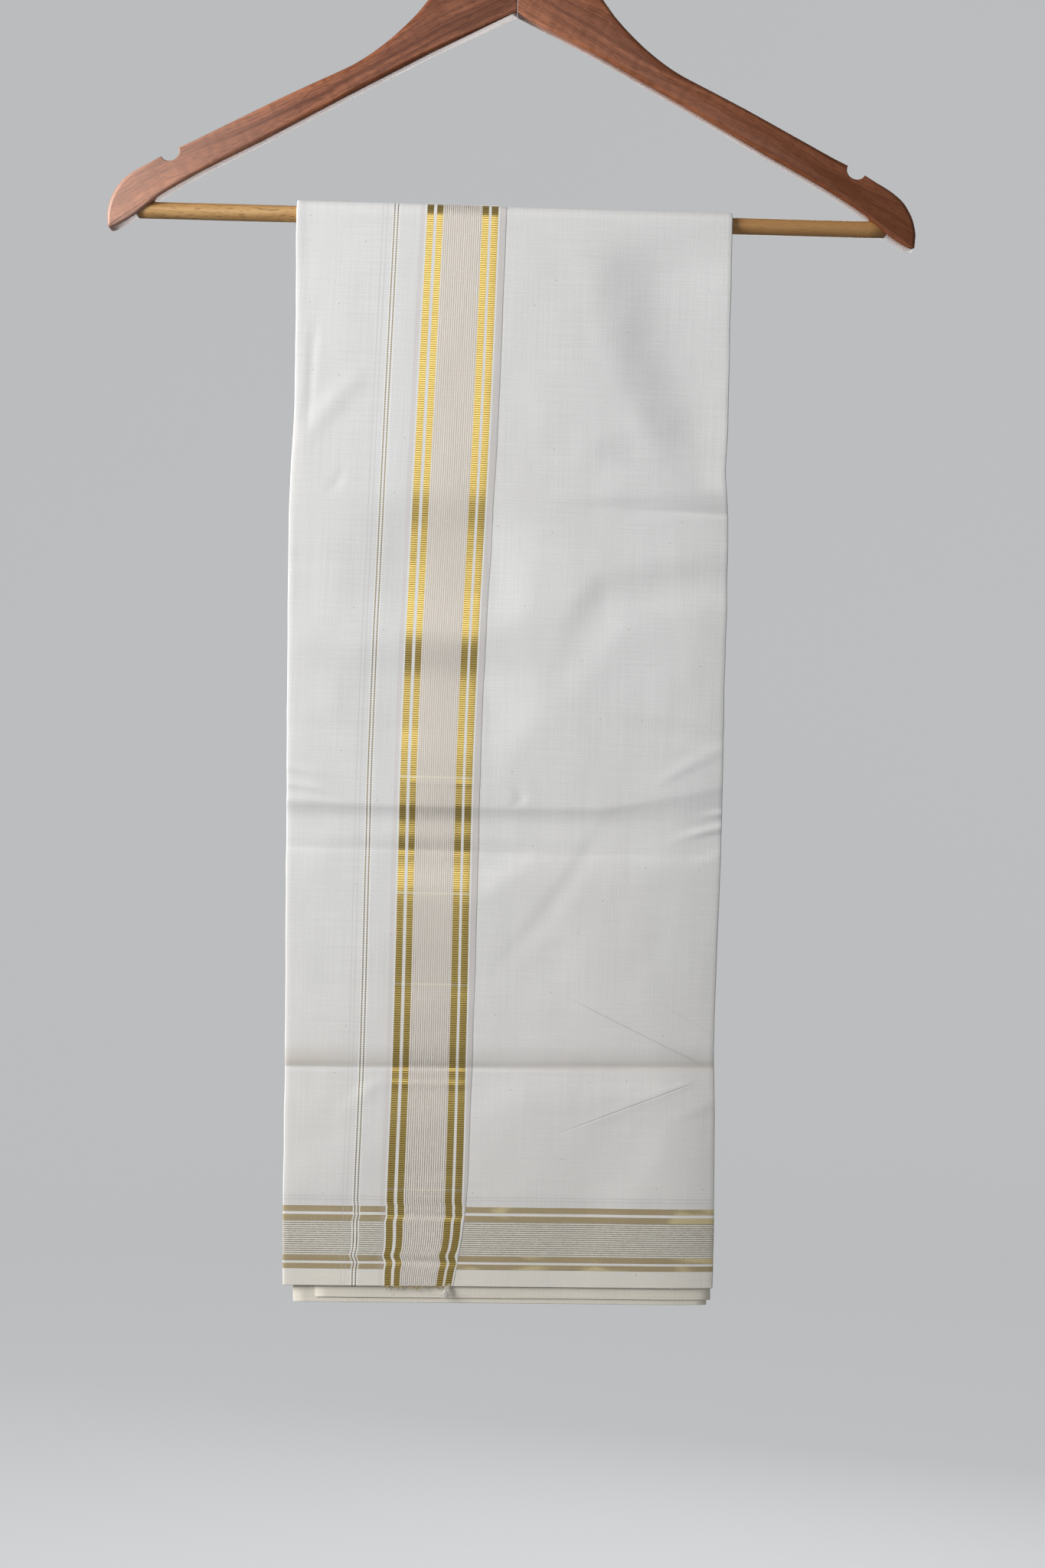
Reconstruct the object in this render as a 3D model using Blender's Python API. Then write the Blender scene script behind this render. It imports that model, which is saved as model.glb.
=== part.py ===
# A folded cotton dhoti hanging over the bar of a wooden clothes hanger.
#
# Axes: +X is to the right as the front is seen, -Y is the front, +Z is up.
# The origin is the inside top of the hook, where a rail bears.
# Sizes in the tables are millimetres. "drop" is the depth below the point
# where the undersides of the two hanger arms meet.

import math

import bmesh
import bpy
from mathutils import Vector

MM = 0.001

# Hanger
ORIGIN_TO_JOINT = 103.0
ARM_THICKNESS = 13.0
SEAM_GAP = 0.3
BAR_RADIUS = 4.6
BAR_DROP = 113.8
BAR_HALF_LENGTH = 207.0
HOLE_CLEARANCE = 0.3
NOTCH_OUTER_LIP = (194.4, 85.0)
NOTCH_INNER_LIP = (185.0, 80.0)
NOTCH_DEPTH = 4.8
WIRE_RADIUS = 1.9
CROOK_RADIUS = 21.9
NECK_BEND_RADIUS = 10.0
CROWN_DROP = -35.4
HOOK_SEAT_DEPTH = 22.0

# Outline of the right arm, from the middle out along its underside
ARM_UNDERSIDE = (
    # across, drop, edge rounding
    (0.15, 0.0, 0.5),
    (46.6, 23.5, 2.6),
    (92.9, 49.0, 2.6),
    (139.0, 74.9, 2.6),
    (170.0, 91.4, 2.4),
    (194.6, 106.5, 1.8),
    (208.4, 117.8, 1.4),
    (220.0, 124.5, 1.4),
    (223.0, 124.0, 1.4),
)
# Back along its end, from the toe up to the outer lip of the notch
ARM_END = (
    (223.6, 117.0, 2.2),
    (222.0, 109.0, 2.6),
    (216.7, 99.5, 2.6),
    (209.0, 93.0, 2.6),
    (201.5, 88.8, 2.2),
)
# Along the top, from the inner lip of the notch up to the crown
ARM_TOPSIDE = (
    (178.0, 76.2, 2.4),
    (155.0, 63.2, 2.6),
    (121.0, 47.4, 2.6),
    (101.0, 37.0, 2.6),
    (85.6, 29.2, 2.6),
    (71.7, 20.3, 2.6),
    (61.0, 9.0, 2.6),
    (49.0, -6.5, 2.6),
    (41.0, -17.0, 2.6),
    (31.5, -26.0, 2.6),
    (20.5, -32.0, 2.6),
    (10.0, -34.7, 2.0),
    (0.15, -35.4, 0.5),
)

# Cloth
WALL = 1.0
LAYER_GAP = 0.3
FOLDS_AT_BAR = 1.0
FOLDS_BELOW = 2.4
RETURN_WIDTH = 8.0
FRONT_BOTTOM = 705.0
BACK_BOTTOM = 703.5
FOLDS_FRONT_BOTTOM = 713.0
FOLDS_BACK_BOTTOM = 711.0
FOLDS_STEP = 2.8
HEM_SLANT = 0.0224
SLANT_FROM = 330.0
MIDDLE = 8.0
ARC_STEPS = 8
# All layers share these upright lines of points, so that their walls stay parallel
FIRST_LINE = -100.0
LINE_SPACING = 15.5
LINE_COUNT = 15

# Side edges of the outer stretches and the free edge of the flap
OUTER_EDGES = (
    # drop, left fold, right fold, selvedge of the flap
    (105.0, -118.9, 122.0, -2.6),
    (222.0, -116.9, 122.8, -4.2),
    (252.0, -117.8, 122.3, -5.0),
    (281.0, -118.3, 124.3, -5.8),
    (382.0, -116.5, 124.7, -8.6),
    (451.0, -115.0, 125.3, -8.7),
    (488.0, -114.3, 124.9, -8.7),
    (567.0, -112.5, 124.2, -8.8),
    (592.0, -112.1, 125.2, -9.1),
    (662.0, -111.1, 126.8, -10.4),
    (707.0, -110.0, 127.1, -16.5),
)
# Side edges of the folds inside: those next to the outer layers, and those next to the bar
INNER_EDGES = (
    # drop, left and right of the outer folds, left and right of the folds by the bar
    (105.0, -117.4, 121.0, -117.4, 121.0),
    (252.0, -116.0, 121.4, -116.6, 121.2),
    (382.0, -113.6, 123.6, -114.8, 122.2),
    (500.0, -107.6, 124.0, -111.4, 122.8),
    (600.0, -101.0, 124.0, -108.0, 123.2),
    (712.0, -91.6, 125.8, -104.2, 123.7),
)
# Troughs that run across the cloth
LEVEL_CREASES = (
    # drop, depth, half width, from across, to across, pressed sharp
    (583.5, 1.5, 10.0, -140.0, 150.0, True),
    (451.0, 1.5, 19.0, -140.0, 150.0, False),
    (275.5, 1.1, 8.0, 30.0, 150.0, True),
    (266.0, 0.5, 10.0, -140.0, 40.0, False),
)
# Broad troughs that run aslant on the front
SLANTED_CREASES = (
    # across, drop, across end, drop end, depth, half width
    (51.7, 118.8, 114.6, 252.5, 1.2, 17.0),
    (82.4, 312.6, 33.2, 373.2, 0.9, 17.0),
    (54.6, 457.2, -7.8, 543.6, 0.8, 15.0),
    (111.0, 586.9, 42.3, 626.8, 0.9, 13.0),
)
# The same kind of troughs on the back
BACK_CREASES = (
    (-22.0, 150.0, -58.0, 262.0, 1.1, 18.0),
    (20.0, 305.0, 78.0, 380.0, 0.9, 18.0),
    (10.0, 600.0, -58.0, 640.0, 0.8, 15.0),
)

COTTON = (0.80, 0.80, 0.77, 1.0)
FOLD_COTTON = (0.76, 0.75, 0.70, 1.0)
VARNISHED_WOOD = (0.27, 0.085, 0.035, 1.0)
PALE_WOOD = (0.56, 0.33, 0.15, 1.0)
STEEL = (0.62, 0.62, 0.63, 1.0)


def clear_scene():
    for thing in list(bpy.data.objects):
        bpy.data.objects.remove(thing, do_unlink=True)


def make_material(name, colour, roughness, metallic):
    material = bpy.data.materials.new(name)
    material.use_nodes = True
    shader = material.node_tree.nodes["Principled BSDF"]
    shader.inputs["Base Color"].default_value = colour
    shader.inputs["Roughness"].default_value = roughness
    shader.inputs["Metallic"].default_value = metallic
    material.diffuse_color = colour
    return material


def make_object(name, corners, faces, material, smooth):
    mesh = bpy.data.meshes.new(name)
    mesh.from_pydata([tuple(corner * MM) for corner in corners], [], faces)
    shape = bmesh.new()
    shape.from_mesh(mesh)
    bmesh.ops.recalc_face_normals(shape, faces=shape.faces)
    shape.to_mesh(mesh)
    shape.free()
    for polygon in mesh.polygons:
        polygon.use_smooth = smooth
    mesh.materials.append(material)
    piece = bpy.data.objects.new(name, mesh)
    bpy.context.scene.collection.objects.link(piece)
    return piece


def height(drop):
    return -(ORIGIN_TO_JOINT + drop)


def blend(low, high, value):
    share = min(1.0, max(0.0, (value - low) / (high - low)))
    return share * share * (3.0 - 2.0 * share)


def read_table(table, drop, column):
    if drop <= table[0][0]:
        return table[0][column]
    for above, below in zip(table, table[1:]):
        if drop <= below[0]:
            share = (drop - above[0]) / (below[0] - above[0])
            return above[column] + share * (below[column] - above[column])
    return table[-1][column]


# Hanger arms and bar


def soften(rows):
    # One more row halfway between each two, on a smooth curve through them
    result = []
    for index in range(len(rows) - 1):
        before = rows[max(index - 1, 0)]
        start = rows[index]
        end = rows[index + 1]
        after = rows[min(index + 2, len(rows) - 1)]
        middle = tuple(
            (9.0 * (start[n] + end[n]) - before[n] - after[n]) / 16.0
            for n in range(3)
        )
        result.append(start)
        result.append(middle)
    result.append(rows[-1])
    return result


def notch_rows():
    outer = Vector(NOTCH_OUTER_LIP)
    inner = Vector(NOTCH_INNER_LIP)
    middle = (outer + inner) / 2.0
    half = (outer - inner) / 2.0
    inward = Vector((-half.y, half.x)).normalized() * NOTCH_DEPTH
    rows = []
    for step in range(9):
        angle = math.pi * step / 8.0
        place = middle + half * math.cos(angle) + inward * math.sin(angle)
        rows.append((place.x, place.y, 0.7))
    return rows


def arm_outline():
    rows = list(ARM_UNDERSIDE)
    rows += soften(ARM_END)
    rows += notch_rows()
    rows += soften(ARM_TOPSIDE)
    return rows


def inset_outline(rows, share):
    # Moves each corner inwards by a share of its own rounding
    result = []
    count = len(rows)
    for index, (across, drop, rounding) in enumerate(rows):
        before = Vector(rows[index - 1][:2])
        here = Vector((across, drop))
        after = Vector(rows[(index + 1) % count][:2])
        first = (here - before).normalized()
        second = (after - here).normalized()
        first_in = Vector((first.y, -first.x))
        second_in = Vector((second.y, -second.x))
        inward = (first_in + second_in).normalized()
        reach = rounding * share / max(0.6, inward.dot(first_in))
        result.append(here + inward * reach)
    return result


def make_arm(name, side, material):
    rows = arm_outline()
    half = ARM_THICKNESS / 2.0
    turns = (0, 30, 60, 90)
    rings = []
    for front in (-1.0, 1.0):
        order = turns[::-1] if front < 0 else turns
        for turn in order:
            angle = math.radians(turn)
            places = inset_outline(rows, 1.0 - math.cos(angle))
            ring = []
            for place, row in zip(places, rows):
                depth = half - row[2] * (1.0 - math.sin(angle))
                across = max(place.x, SEAM_GAP / 2.0)
                ring.append(Vector((side * across, front * depth, height(place.y))))
            rings.append(ring)
    corners = [corner for ring in rings for corner in ring]
    count = len(rows)
    faces = []
    for level in range(len(rings) - 1):
        for index in range(count):
            after = (index + 1) % count
            faces.append((
                level * count + index,
                level * count + after,
                (level + 1) * count + after,
                (level + 1) * count + index,
            ))
    faces.append(tuple(range(count)))
    faces.append(tuple((len(rings) - 1) * count + n for n in range(count)))
    return make_object(name, corners, faces, material, False)


def make_rod(name, start, end, radius, sides, bevel, material):
    start = Vector(start)
    end = Vector(end)
    along = (end - start).normalized()
    first = Vector((0.0, 1.0, 0.0))
    second = along.cross(first).normalized()
    stations = (
        (start, radius - bevel),
        (start + along * bevel, radius),
        (end - along * bevel, radius),
        (end, radius - bevel),
    )
    corners = []
    for centre, size in stations:
        for step in range(sides):
            angle = 2.0 * math.pi * step / sides
            offset = first * math.cos(angle) + second * math.sin(angle)
            corners.append(centre + offset * size)
    faces = []
    for level in range(3):
        for step in range(sides):
            after = (step + 1) % sides
            faces.append((
                level * sides + step,
                level * sides + after,
                (level + 1) * sides + after,
                (level + 1) * sides + step,
            ))
    faces.append(tuple(range(sides)))
    faces.append(tuple(3 * sides + n for n in range(sides)))
    return make_object(name, corners, faces, material, True)


def cut(piece, cutter):
    modifier = piece.modifiers.new("cut_" + cutter.name, "BOOLEAN")
    modifier.operation = "DIFFERENCE"
    modifier.solver = "EXACT"
    modifier.object = cutter
    cutter.hide_render = True
    cutter.display_type = "WIRE"


def make_hanger(wood, bar_wood, steel):
    reach = BAR_HALF_LENGTH
    bar_height = height(BAR_DROP)
    make_rod(
        "hanger_bar", (-reach, 0.0, bar_height), (reach, 0.0, bar_height),
        BAR_RADIUS, 24, 0.6, bar_wood,
    )
    seat_bottom = CROWN_DROP + HOOK_SEAT_DEPTH
    seat = make_rod(
        "cutter_hook_seat",
        (0.0, 0.0, height(seat_bottom)),
        (0.0, 0.0, height(CROWN_DROP - 6.0)),
        WIRE_RADIUS + HOLE_CLEARANCE, 16, 0.2, wood,
    )
    for side, word in ((-1.0, "left"), (1.0, "right")):
        arm = make_arm("hanger_arm_" + word, side, wood)
        socket = make_rod(
            "cutter_bar_socket_" + word,
            (side * (reach - 30.0), 0.0, bar_height),
            (side * (reach + HOLE_CLEARANCE), 0.0, bar_height),
            BAR_RADIUS + HOLE_CLEARANCE, 24, 0.2, wood,
        )
        cut(arm, socket)
        cut(arm, seat)
    make_hook(steel, seat_bottom)


# Hook


def hook_path(seat_bottom):
    centre = Vector((0.0, -(CROOK_RADIUS - WIRE_RADIUS)))
    reach = CROOK_RADIUS + NECK_BEND_RADIUS
    below = math.sqrt(reach ** 2 - NECK_BEND_RADIUS ** 2)
    bend = Vector((NECK_BEND_RADIUS, centre.y - below))
    touch = math.atan2(centre.y - bend.y, centre.x - bend.x)
    stem_low = height(seat_bottom) + 0.3
    path = []
    stem_steps = 4
    for step in range(stem_steps):
        share = step / stem_steps
        path.append(Vector((0.0, stem_low + share * (bend.y - stem_low))))
    bend_steps = 5
    for step in range(bend_steps):
        angle = math.pi + (touch - math.pi) * step / bend_steps
        path.append(bend + NECK_BEND_RADIUS * Vector((math.cos(angle), math.sin(angle))))
    start = touch + math.pi - 2.0 * math.pi
    end = math.radians(206.0)
    crook_steps = 26
    for step in range(crook_steps + 1):
        angle = start + (end - start) * step / crook_steps
        path.append(centre + CROOK_RADIUS * Vector((math.cos(angle), math.sin(angle))))
    return path


def make_hook(steel, seat_bottom):
    path = hook_path(seat_bottom)
    sides = 12
    rings = []
    for index, place in enumerate(path):
        before = path[max(index - 1, 0)]
        after = path[min(index + 1, len(path) - 1)]
        heading = (after - before).normalized()
        rings.append((place, heading, WIRE_RADIUS))
    last, heading, radius = rings[-1]
    for forward, share in ((0.9, 0.87), (1.6, 0.5)):
        rings.append((last + heading * forward, heading, radius * share))
    corners = []
    for place, heading, radius in rings:
        for step in range(sides):
            angle = 2.0 * math.pi * step / sides
            out = radius * math.cos(angle)
            corners.append(Vector((
                place.x - heading.y * out,
                radius * math.sin(angle),
                place.y + heading.x * out,
            )))
    faces = []
    for level in range(len(rings) - 1):
        for step in range(sides):
            after = (step + 1) % sides
            faces.append((
                level * sides + step,
                level * sides + after,
                (level + 1) * sides + after,
                (level + 1) * sides + step,
            ))
    faces.append(tuple(range(sides)))
    faces.append(tuple((len(rings) - 1) * sides + n for n in range(sides)))
    make_object("hanger_hook", corners, faces, steel, True)


# Cloth


def crease_depth(across, drop, slanted):
    depth = 0.0
    for level, deep, half, first, last, sharp in LEVEL_CREASES:
        away = abs(drop - level) / half
        if away >= 1.0:
            continue
        if sharp:
            form = (1.0 - away) ** 1.6
        else:
            form = 0.5 + 0.5 * math.cos(math.pi * away)
        inside = blend(first - 15.0, first + 15.0, across)
        inside *= 1.0 - blend(last - 15.0, last + 15.0, across)
        depth += deep * form * inside
    for x_a, drop_a, x_b, drop_b, deep, half in slanted:
        run = Vector((x_b - x_a, drop_b - drop_a))
        rel = Vector((across - x_a, drop - drop_a))
        share = min(1.0, max(0.0, rel.dot(run) / run.length_squared))
        away = (rel - run * share).length / half
        if away < 1.0:
            ends = 0.45 + 0.55 * math.sin(math.pi * share)
            depth += deep * ends * (0.5 + 0.5 * math.cos(math.pi * away))
    depth = min(depth, 2.2)
    return depth * blend(BAR_DROP + 4.0, BAR_DROP + 26.0, drop)


def slant(across, drop):
    share = max(0.0, (drop - SLANT_FROM) / (FRONT_BOTTOM - SLANT_FROM))
    return -HEM_SLANT * (across - MIDDLE) * share ** 1.3


def folds_thickness(drop):
    return FOLDS_AT_BAR + (FOLDS_BELOW - FOLDS_AT_BAR) * blend(120.0, 330.0, drop)


def settle(station, across, out):
    # Puts a point of the cloth in its place: "out" is measured from the bar's surface
    where, value = station
    radius = BAR_RADIUS + LAYER_GAP + out
    if where == "over":
        return Vector((
            across,
            -radius * math.cos(value),
            height(BAR_DROP) + radius * math.sin(value),
        ))
    drop = value
    folds = folds_thickness(drop)
    share = 0.5 + 0.5 * min(1.0, max(0.0, out / folds))
    slanted = SLANTED_CREASES if where == "front" else BACK_CREASES
    side = -1.0 if where == "front" else 1.0
    depth = crease_depth(across, drop, slanted) * share
    return Vector((
        across,
        side * (radius - depth),
        height(drop + slant(across, drop)),
    ))


def station_drop(station):
    return BAR_DROP if station[0] == "over" else station[1]


def drop_rows(bottom, spacing):
    # Rows every so often, with closer ones at each crease across the cloth
    rows = {bottom}
    creases = [row for row in LEVEL_CREASES if row[2] < bottom - row[0]]
    for level, deep, half, first, last, sharp in creases:
        if deep < 1.0:
            continue
        for share in (-1.0, -0.45, 0.0, 0.45, 1.0):
            rows.add(level + share * half)
    count = int((bottom - BAR_DROP) / spacing)
    for step in range(count):
        drop = BAR_DROP + (bottom - BAR_DROP) * step / count
        if step == 0 or min(abs(drop - row) for row in rows) > spacing * 0.45:
            rows.add(drop)
    return sorted(rows, reverse=True)


def stations(front_end, back_end):
    # The rows are the same for every layer, apart from its own two ends
    front = drop_rows(FRONT_BOTTOM, 31.0)
    front[0] = front_end
    back = drop_rows(BACK_BOTTOM, 44.0)
    back[0] = back_end
    path = [("front", drop) for drop in front]
    for step in range(1, ARC_STEPS):
        path.append(("over", math.pi * step / ARC_STEPS))
    path += [("back", drop) for drop in reversed(back)]
    return path


def upright_lines(first, last):
    lines = []
    for step in range(LINE_COUNT):
        across = FIRST_LINE + LINE_SPACING * step
        if first < across < last:
            lines.append(("line", across))
    return lines


def shift_station(station, amount):
    where, value = station
    return (where, value - amount)


def make_shell(name, path, columns, point, rims, material):
    # rims: inset of the edge, further inset at the two ends, and depth through
    # the wall, from outside to inside
    last_row = len(path) - 1
    last_column = len(columns) - 1
    corners = []
    grids = []
    for inset, step_up, depth in (rims[0], rims[-1]):
        grid = []
        for row, station in enumerate(path):
            if row in (0, last_row):
                station = shift_station(station, inset + step_up)
            line = []
            for column in columns:
                line.append(len(corners))
                corners.append(point(station, column, inset, depth))
            grid.append(line)
        grids.append(grid)
    border = [(0, column) for column in range(last_column)]
    border += [(row, last_column) for row in range(last_row)]
    border += [(last_row, column) for column in range(last_column, 0, -1)]
    border += [(row, 0) for row in range(last_row, 0, -1)]
    loops = [[grids[0][row][column] for row, column in border]]
    for inset, step_up, depth in rims[1:-1]:
        loop = []
        for row, column in border:
            station = path[row]
            if row in (0, last_row):
                station = shift_station(station, inset + step_up)
            loop.append(len(corners))
            corners.append(point(station, columns[column], inset, depth))
        loops.append(loop)
    loops.append([grids[1][row][column] for row, column in border])
    faces = []
    for grid in grids:
        for row in range(last_row):
            for column in range(last_column):
                corner = grid[row][column]
                beside = grid[row][column + 1]
                opposite = grid[row + 1][column + 1]
                above = grid[row + 1][column]
                faces.append((corner, beside, opposite))
                faces.append((corner, opposite, above))
    for first, second in zip(loops, loops[1:]):
        for index in range(len(border)):
            after = (index + 1) % len(border)
            faces.append((first[index], first[after], second[after], second[index]))
    return make_object(name, corners, faces, material, True)


def folds_point(station, column, inset, depth):
    drop = station_drop(station)
    by_bar = 0 if depth >= 0.5 else 2
    kind, across = column
    if kind == "left":
        across = read_table(INNER_EDGES, drop, 1 + by_bar) + inset
    if kind == "right":
        across = read_table(INNER_EDGES, drop, 2 + by_bar) - inset
    return settle(station, across, folds_thickness(drop) * depth)


def panel_point(station, column, inset, depth):
    drop = station_drop(station)
    kind, across = column
    if kind == "left":
        across = read_table(OUTER_EDGES, drop, 1) + RETURN_WIDTH + LAYER_GAP + inset
    if kind == "right":
        across = read_table(OUTER_EDGES, drop, 2) - inset
    out = folds_thickness(drop) + LAYER_GAP + WALL * depth
    return settle(station, across, out)


def flap_point(station, column, inset, depth):
    drop = station_drop(station)
    low = folds_thickness(drop) + LAYER_GAP + WALL / 2.0
    high = low + WALL + LAYER_GAP
    bend = (high - low) / 2.0
    left = read_table(OUTER_EDGES, drop, 1)
    away = WALL * (depth - 0.5)
    kind, value = column
    if kind == "selvedge":
        across = read_table(OUTER_EDGES, drop, 3) - inset
        return settle(station, across, high + away)
    if kind == "line":
        return settle(station, value, high + away)
    if kind == "fold":
        radius = bend + away
        across = left + bend + WALL / 2.0 + radius * math.cos(value)
        return settle(station, across, (low + high) / 2.0 + radius * math.sin(value))
    return settle(station, left + RETURN_WIDTH - inset, low - away)


def make_cloth(cotton, fold_cotton):
    wall_rims = ((0.3, 0.0, 1.0), (0.0, 0.0, 0.5), (0.3, 0.0, 0.0))
    fold_rims = (
        (0.4, FOLDS_STEP, 1.0),
        (0.0, FOLDS_STEP, 0.76),
        (1.6, FOLDS_STEP, 0.5),
        (0.0, 0.0, 0.24),
        (0.4, 0.0, 0.0),
    )

    path = stations(FRONT_BOTTOM, BACK_BOTTOM)
    columns = [("left", 0.0)] + upright_lines(-105.0, 120.0) + [("right", 0.0)]
    make_shell("front_panel", path, columns, panel_point, wall_rims, cotton)

    columns = [("return", 0.0)]
    columns += [("fold", math.pi * (1.5 - step / 4.0)) for step in range(5)]
    columns += upright_lines(-105.0, -20.0) + [("selvedge", 0.0)]
    make_shell("border_flap", path, columns, flap_point, wall_rims, cotton)

    path = stations(FOLDS_FRONT_BOTTOM, FOLDS_BACK_BOTTOM)
    columns = [("left", 0.0)] + upright_lines(-90.0, 118.0) + [("right", 0.0)]
    make_shell("inner_folds", path, columns, folds_point, fold_rims, fold_cotton)


def build():
    clear_scene()
    wood = make_material("varnished_wood", VARNISHED_WOOD, 0.35, 0.0)
    bar_wood = make_material("pale_wood", PALE_WOOD, 0.5, 0.0)
    steel = make_material("hook_steel", STEEL, 0.3, 1.0)
    cotton = make_material("cotton", COTTON, 0.85, 0.0)
    fold_cotton = make_material("folded_cotton", FOLD_COTTON, 0.9, 0.0)
    make_hanger(wood, bar_wood, steel)
    make_cloth(cotton, fold_cotton)


build()
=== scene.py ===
# A folded cotton dhoti over the bar of a wooden hanger: the looks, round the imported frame.
# Sizes in the dictionaries are millimetres, and "drop" is the depth below the joint of the two arms.
import math
import random

import bmesh
import bpy
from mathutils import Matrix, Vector, noise


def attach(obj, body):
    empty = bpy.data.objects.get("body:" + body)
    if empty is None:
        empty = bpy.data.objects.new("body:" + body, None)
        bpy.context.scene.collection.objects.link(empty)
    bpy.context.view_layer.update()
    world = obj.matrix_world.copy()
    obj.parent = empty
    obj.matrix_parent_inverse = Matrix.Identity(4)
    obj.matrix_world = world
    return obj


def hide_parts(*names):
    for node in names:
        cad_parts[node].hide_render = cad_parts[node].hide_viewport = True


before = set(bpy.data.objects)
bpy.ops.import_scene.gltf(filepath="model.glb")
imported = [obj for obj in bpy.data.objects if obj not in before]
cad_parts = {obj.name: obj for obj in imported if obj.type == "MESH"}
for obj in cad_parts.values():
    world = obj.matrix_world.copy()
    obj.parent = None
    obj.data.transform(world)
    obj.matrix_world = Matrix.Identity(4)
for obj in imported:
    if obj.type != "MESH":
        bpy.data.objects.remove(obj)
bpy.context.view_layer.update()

mm = 0.001
jointBelowHook = 103  # from the inside top of the hook down to the joint of the arms


def heightAt(drop):
    return -(jointBelowHook + drop)


def easeBetween(low, high, value):
    share = min(1, max(0, (value - low) / (high - low)))
    return share * share * (3 - 2 * share)


def readTable(table, drop, column):
    # A smooth curve through a table's rows
    if drop <= table[0][0]:
        return table[0][column]
    if drop >= table[-1][0]:
        return table[-1][column]
    index = 0
    while drop > table[index + 1][0]:
        index += 1
    start, end = table[index], table[index + 1]
    before, after = table[max(index - 1, 0)], table[min(index + 2, len(table) - 1)]
    length = end[0] - start[0]
    share = (drop - start[0]) / length
    slopeStart = (end[column] - before[column]) / max(end[0] - before[0], 0.001) * length
    slopeEnd = (after[column] - start[column]) / max(after[0] - start[0], 0.001) * length
    square, cube = share * share, share * share * share
    return (
        (2 * cube - 3 * square + 1) * start[column] + (cube - 2 * square + share) * slopeStart
        + (3 * square - 2 * cube) * end[column] + (cube - square) * slopeEnd
    )


def linkPiece(name, mesh):
    piece = bpy.data.objects.new(name, mesh)
    bpy.context.scene.collection.objects.link(piece)
    return piece


def meshPiece(name, corners, faces, material, patterns=None):
    # Corners in millimetres; patterns is one (across, along) pair for each corner, also millimetres
    mesh = bpy.data.meshes.new(name)
    mesh.from_pydata([(x * mm, y * mm, z * mm) for x, y, z in corners], [], faces)
    if patterns:
        layer = mesh.uv_layers.new(name="weave")
        layer.data.foreach_set("uv", [value for loop in mesh.loops for value in patterns[loop.vertex_index]])
    shape = bmesh.new()
    shape.from_mesh(mesh)
    bmesh.ops.recalc_face_normals(shape, faces=shape.faces)
    shape.to_mesh(mesh)
    shape.free()
    mesh.polygons.foreach_set("use_smooth", [True] * len(mesh.polygons))
    mesh.materials.append(material)
    return linkPiece(name, mesh)


def waver(x, y, z):
    return noise.noise(Vector((x, y, z)))


def tubeFaces(levels, count, first=0):
    # Four-sided faces between rings of corners
    faces = []
    for level in range(levels - 1):
        low = first + level * count
        for index in range(count):
            after = (index + 1) % count
            faces.append((low + index, low + after, low + count + after, low + count + index))
    return faces


def closedTube(levels, count):
    last = (levels - 1) * count
    return tubeFaces(levels, count) + [tuple(range(count)), tuple(range(last, last + count))]


class Signal:
    # What a node gives out: it adds and multiplies as a number does

    def __init__(self, socket):
        self.socket = socket
        self.tree = socket.id_data

    def __add__(self, other):
        return calc("ADD", self, other)

    def __mul__(self, other):
        return calc("MULTIPLY", self, other)

    def __sub__(self, other):
        return calc("SUBTRACT", self, other)

    def __rsub__(self, other):
        return calc("SUBTRACT", other, self)

    __radd__ = __add__
    __rmul__ = __mul__


def feed(socket, value):
    # Takes a number, a colour, or what a node gives out
    if isinstance(value, bpy.types.Node):
        value = value.outputs[0]
    elif isinstance(value, Signal):
        value = value.socket
    if isinstance(value, bpy.types.NodeSocket):
        socket.id_data.links.new(value, socket)
    elif socket.type == "RGBA":
        socket.default_value = (*value, 1)
    else:
        socket.default_value = value


def setInputs(node, values):
    for label, value in values.items():
        feed(node.inputs[label], value)


def addNode(tree, kind, values=None, **settings):
    node = tree.nodes.new(kind)
    for label, value in settings.items():
        setattr(node, label, value)
    setInputs(node, values or {})
    return node


def calc(operation, *values, clamp=False):
    tree = next(value.tree for value in values if isinstance(value, Signal))
    node = addNode(tree, "ShaderNodeMath", dict(enumerate(values)), operation=operation, use_clamp=clamp)
    return Signal(node.outputs[0])


def mixColour(share, first, second):
    node = addNode(share.tree, "ShaderNodeMix", {0: share, 6: first, 7: second}, data_type="RGBA")
    return Signal(node.outputs[2])


def ripple(value, pitch, phase=0):
    # From 0 to 1 and back once in each pitch
    return calc("SINE", calc("MULTIPLY_ADD", value, 2 * math.pi / pitch, phase)) * 0.5 + 0.5


def stripe(value, low, high, edge=0.14):
    # 1 between low and high, with narrow soft edges
    rise = calc("MULTIPLY_ADD", value, 1 / edge, 0.5 - low / edge, clamp=True)
    fall = calc("MULTIPLY_ADD", value, -1 / edge, 0.5 + high / edge, clamp=True)
    return rise * fall


def stripes(value, *ranges):
    result = stripe(value, *ranges[0])
    for low, high in ranges[1:]:
        result = calc("ADD", result, stripe(value, low, high), clamp=True)
    return result


def combine(*axes):
    return Signal(addNode(axes[0].tree, "ShaderNodeCombineXYZ", dict(enumerate(axes))).outputs[0])


def splitAxes(place):
    return [Signal(output) for output in addNode(place.tree, "ShaderNodeSeparateXYZ", {0: place}).outputs]


def cloudy(vector, scale=1, detail=2, rough=0.5):
    values = {"Vector": vector, "Scale": scale, "Detail": detail, "Roughness": rough}
    return Signal(addNode(vector.tree, "ShaderNodeTexNoise", values).outputs[0])


def drawnOut(axes, factors, detail=2, rough=0.5):
    # Noise that is drawn out along the axes with a small factor
    return cloudy(combine(*[axis * factor for axis, factor in zip(axes, factors)]), 1, detail, rough)


def spread(value, low, high, first=0, second=1):
    values = {"Value": value, "From Min": low, "From Max": high, "To Min": first, "To Max": second}
    return Signal(addNode(value.tree, "ShaderNodeMapRange", values).outputs[0])


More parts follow.
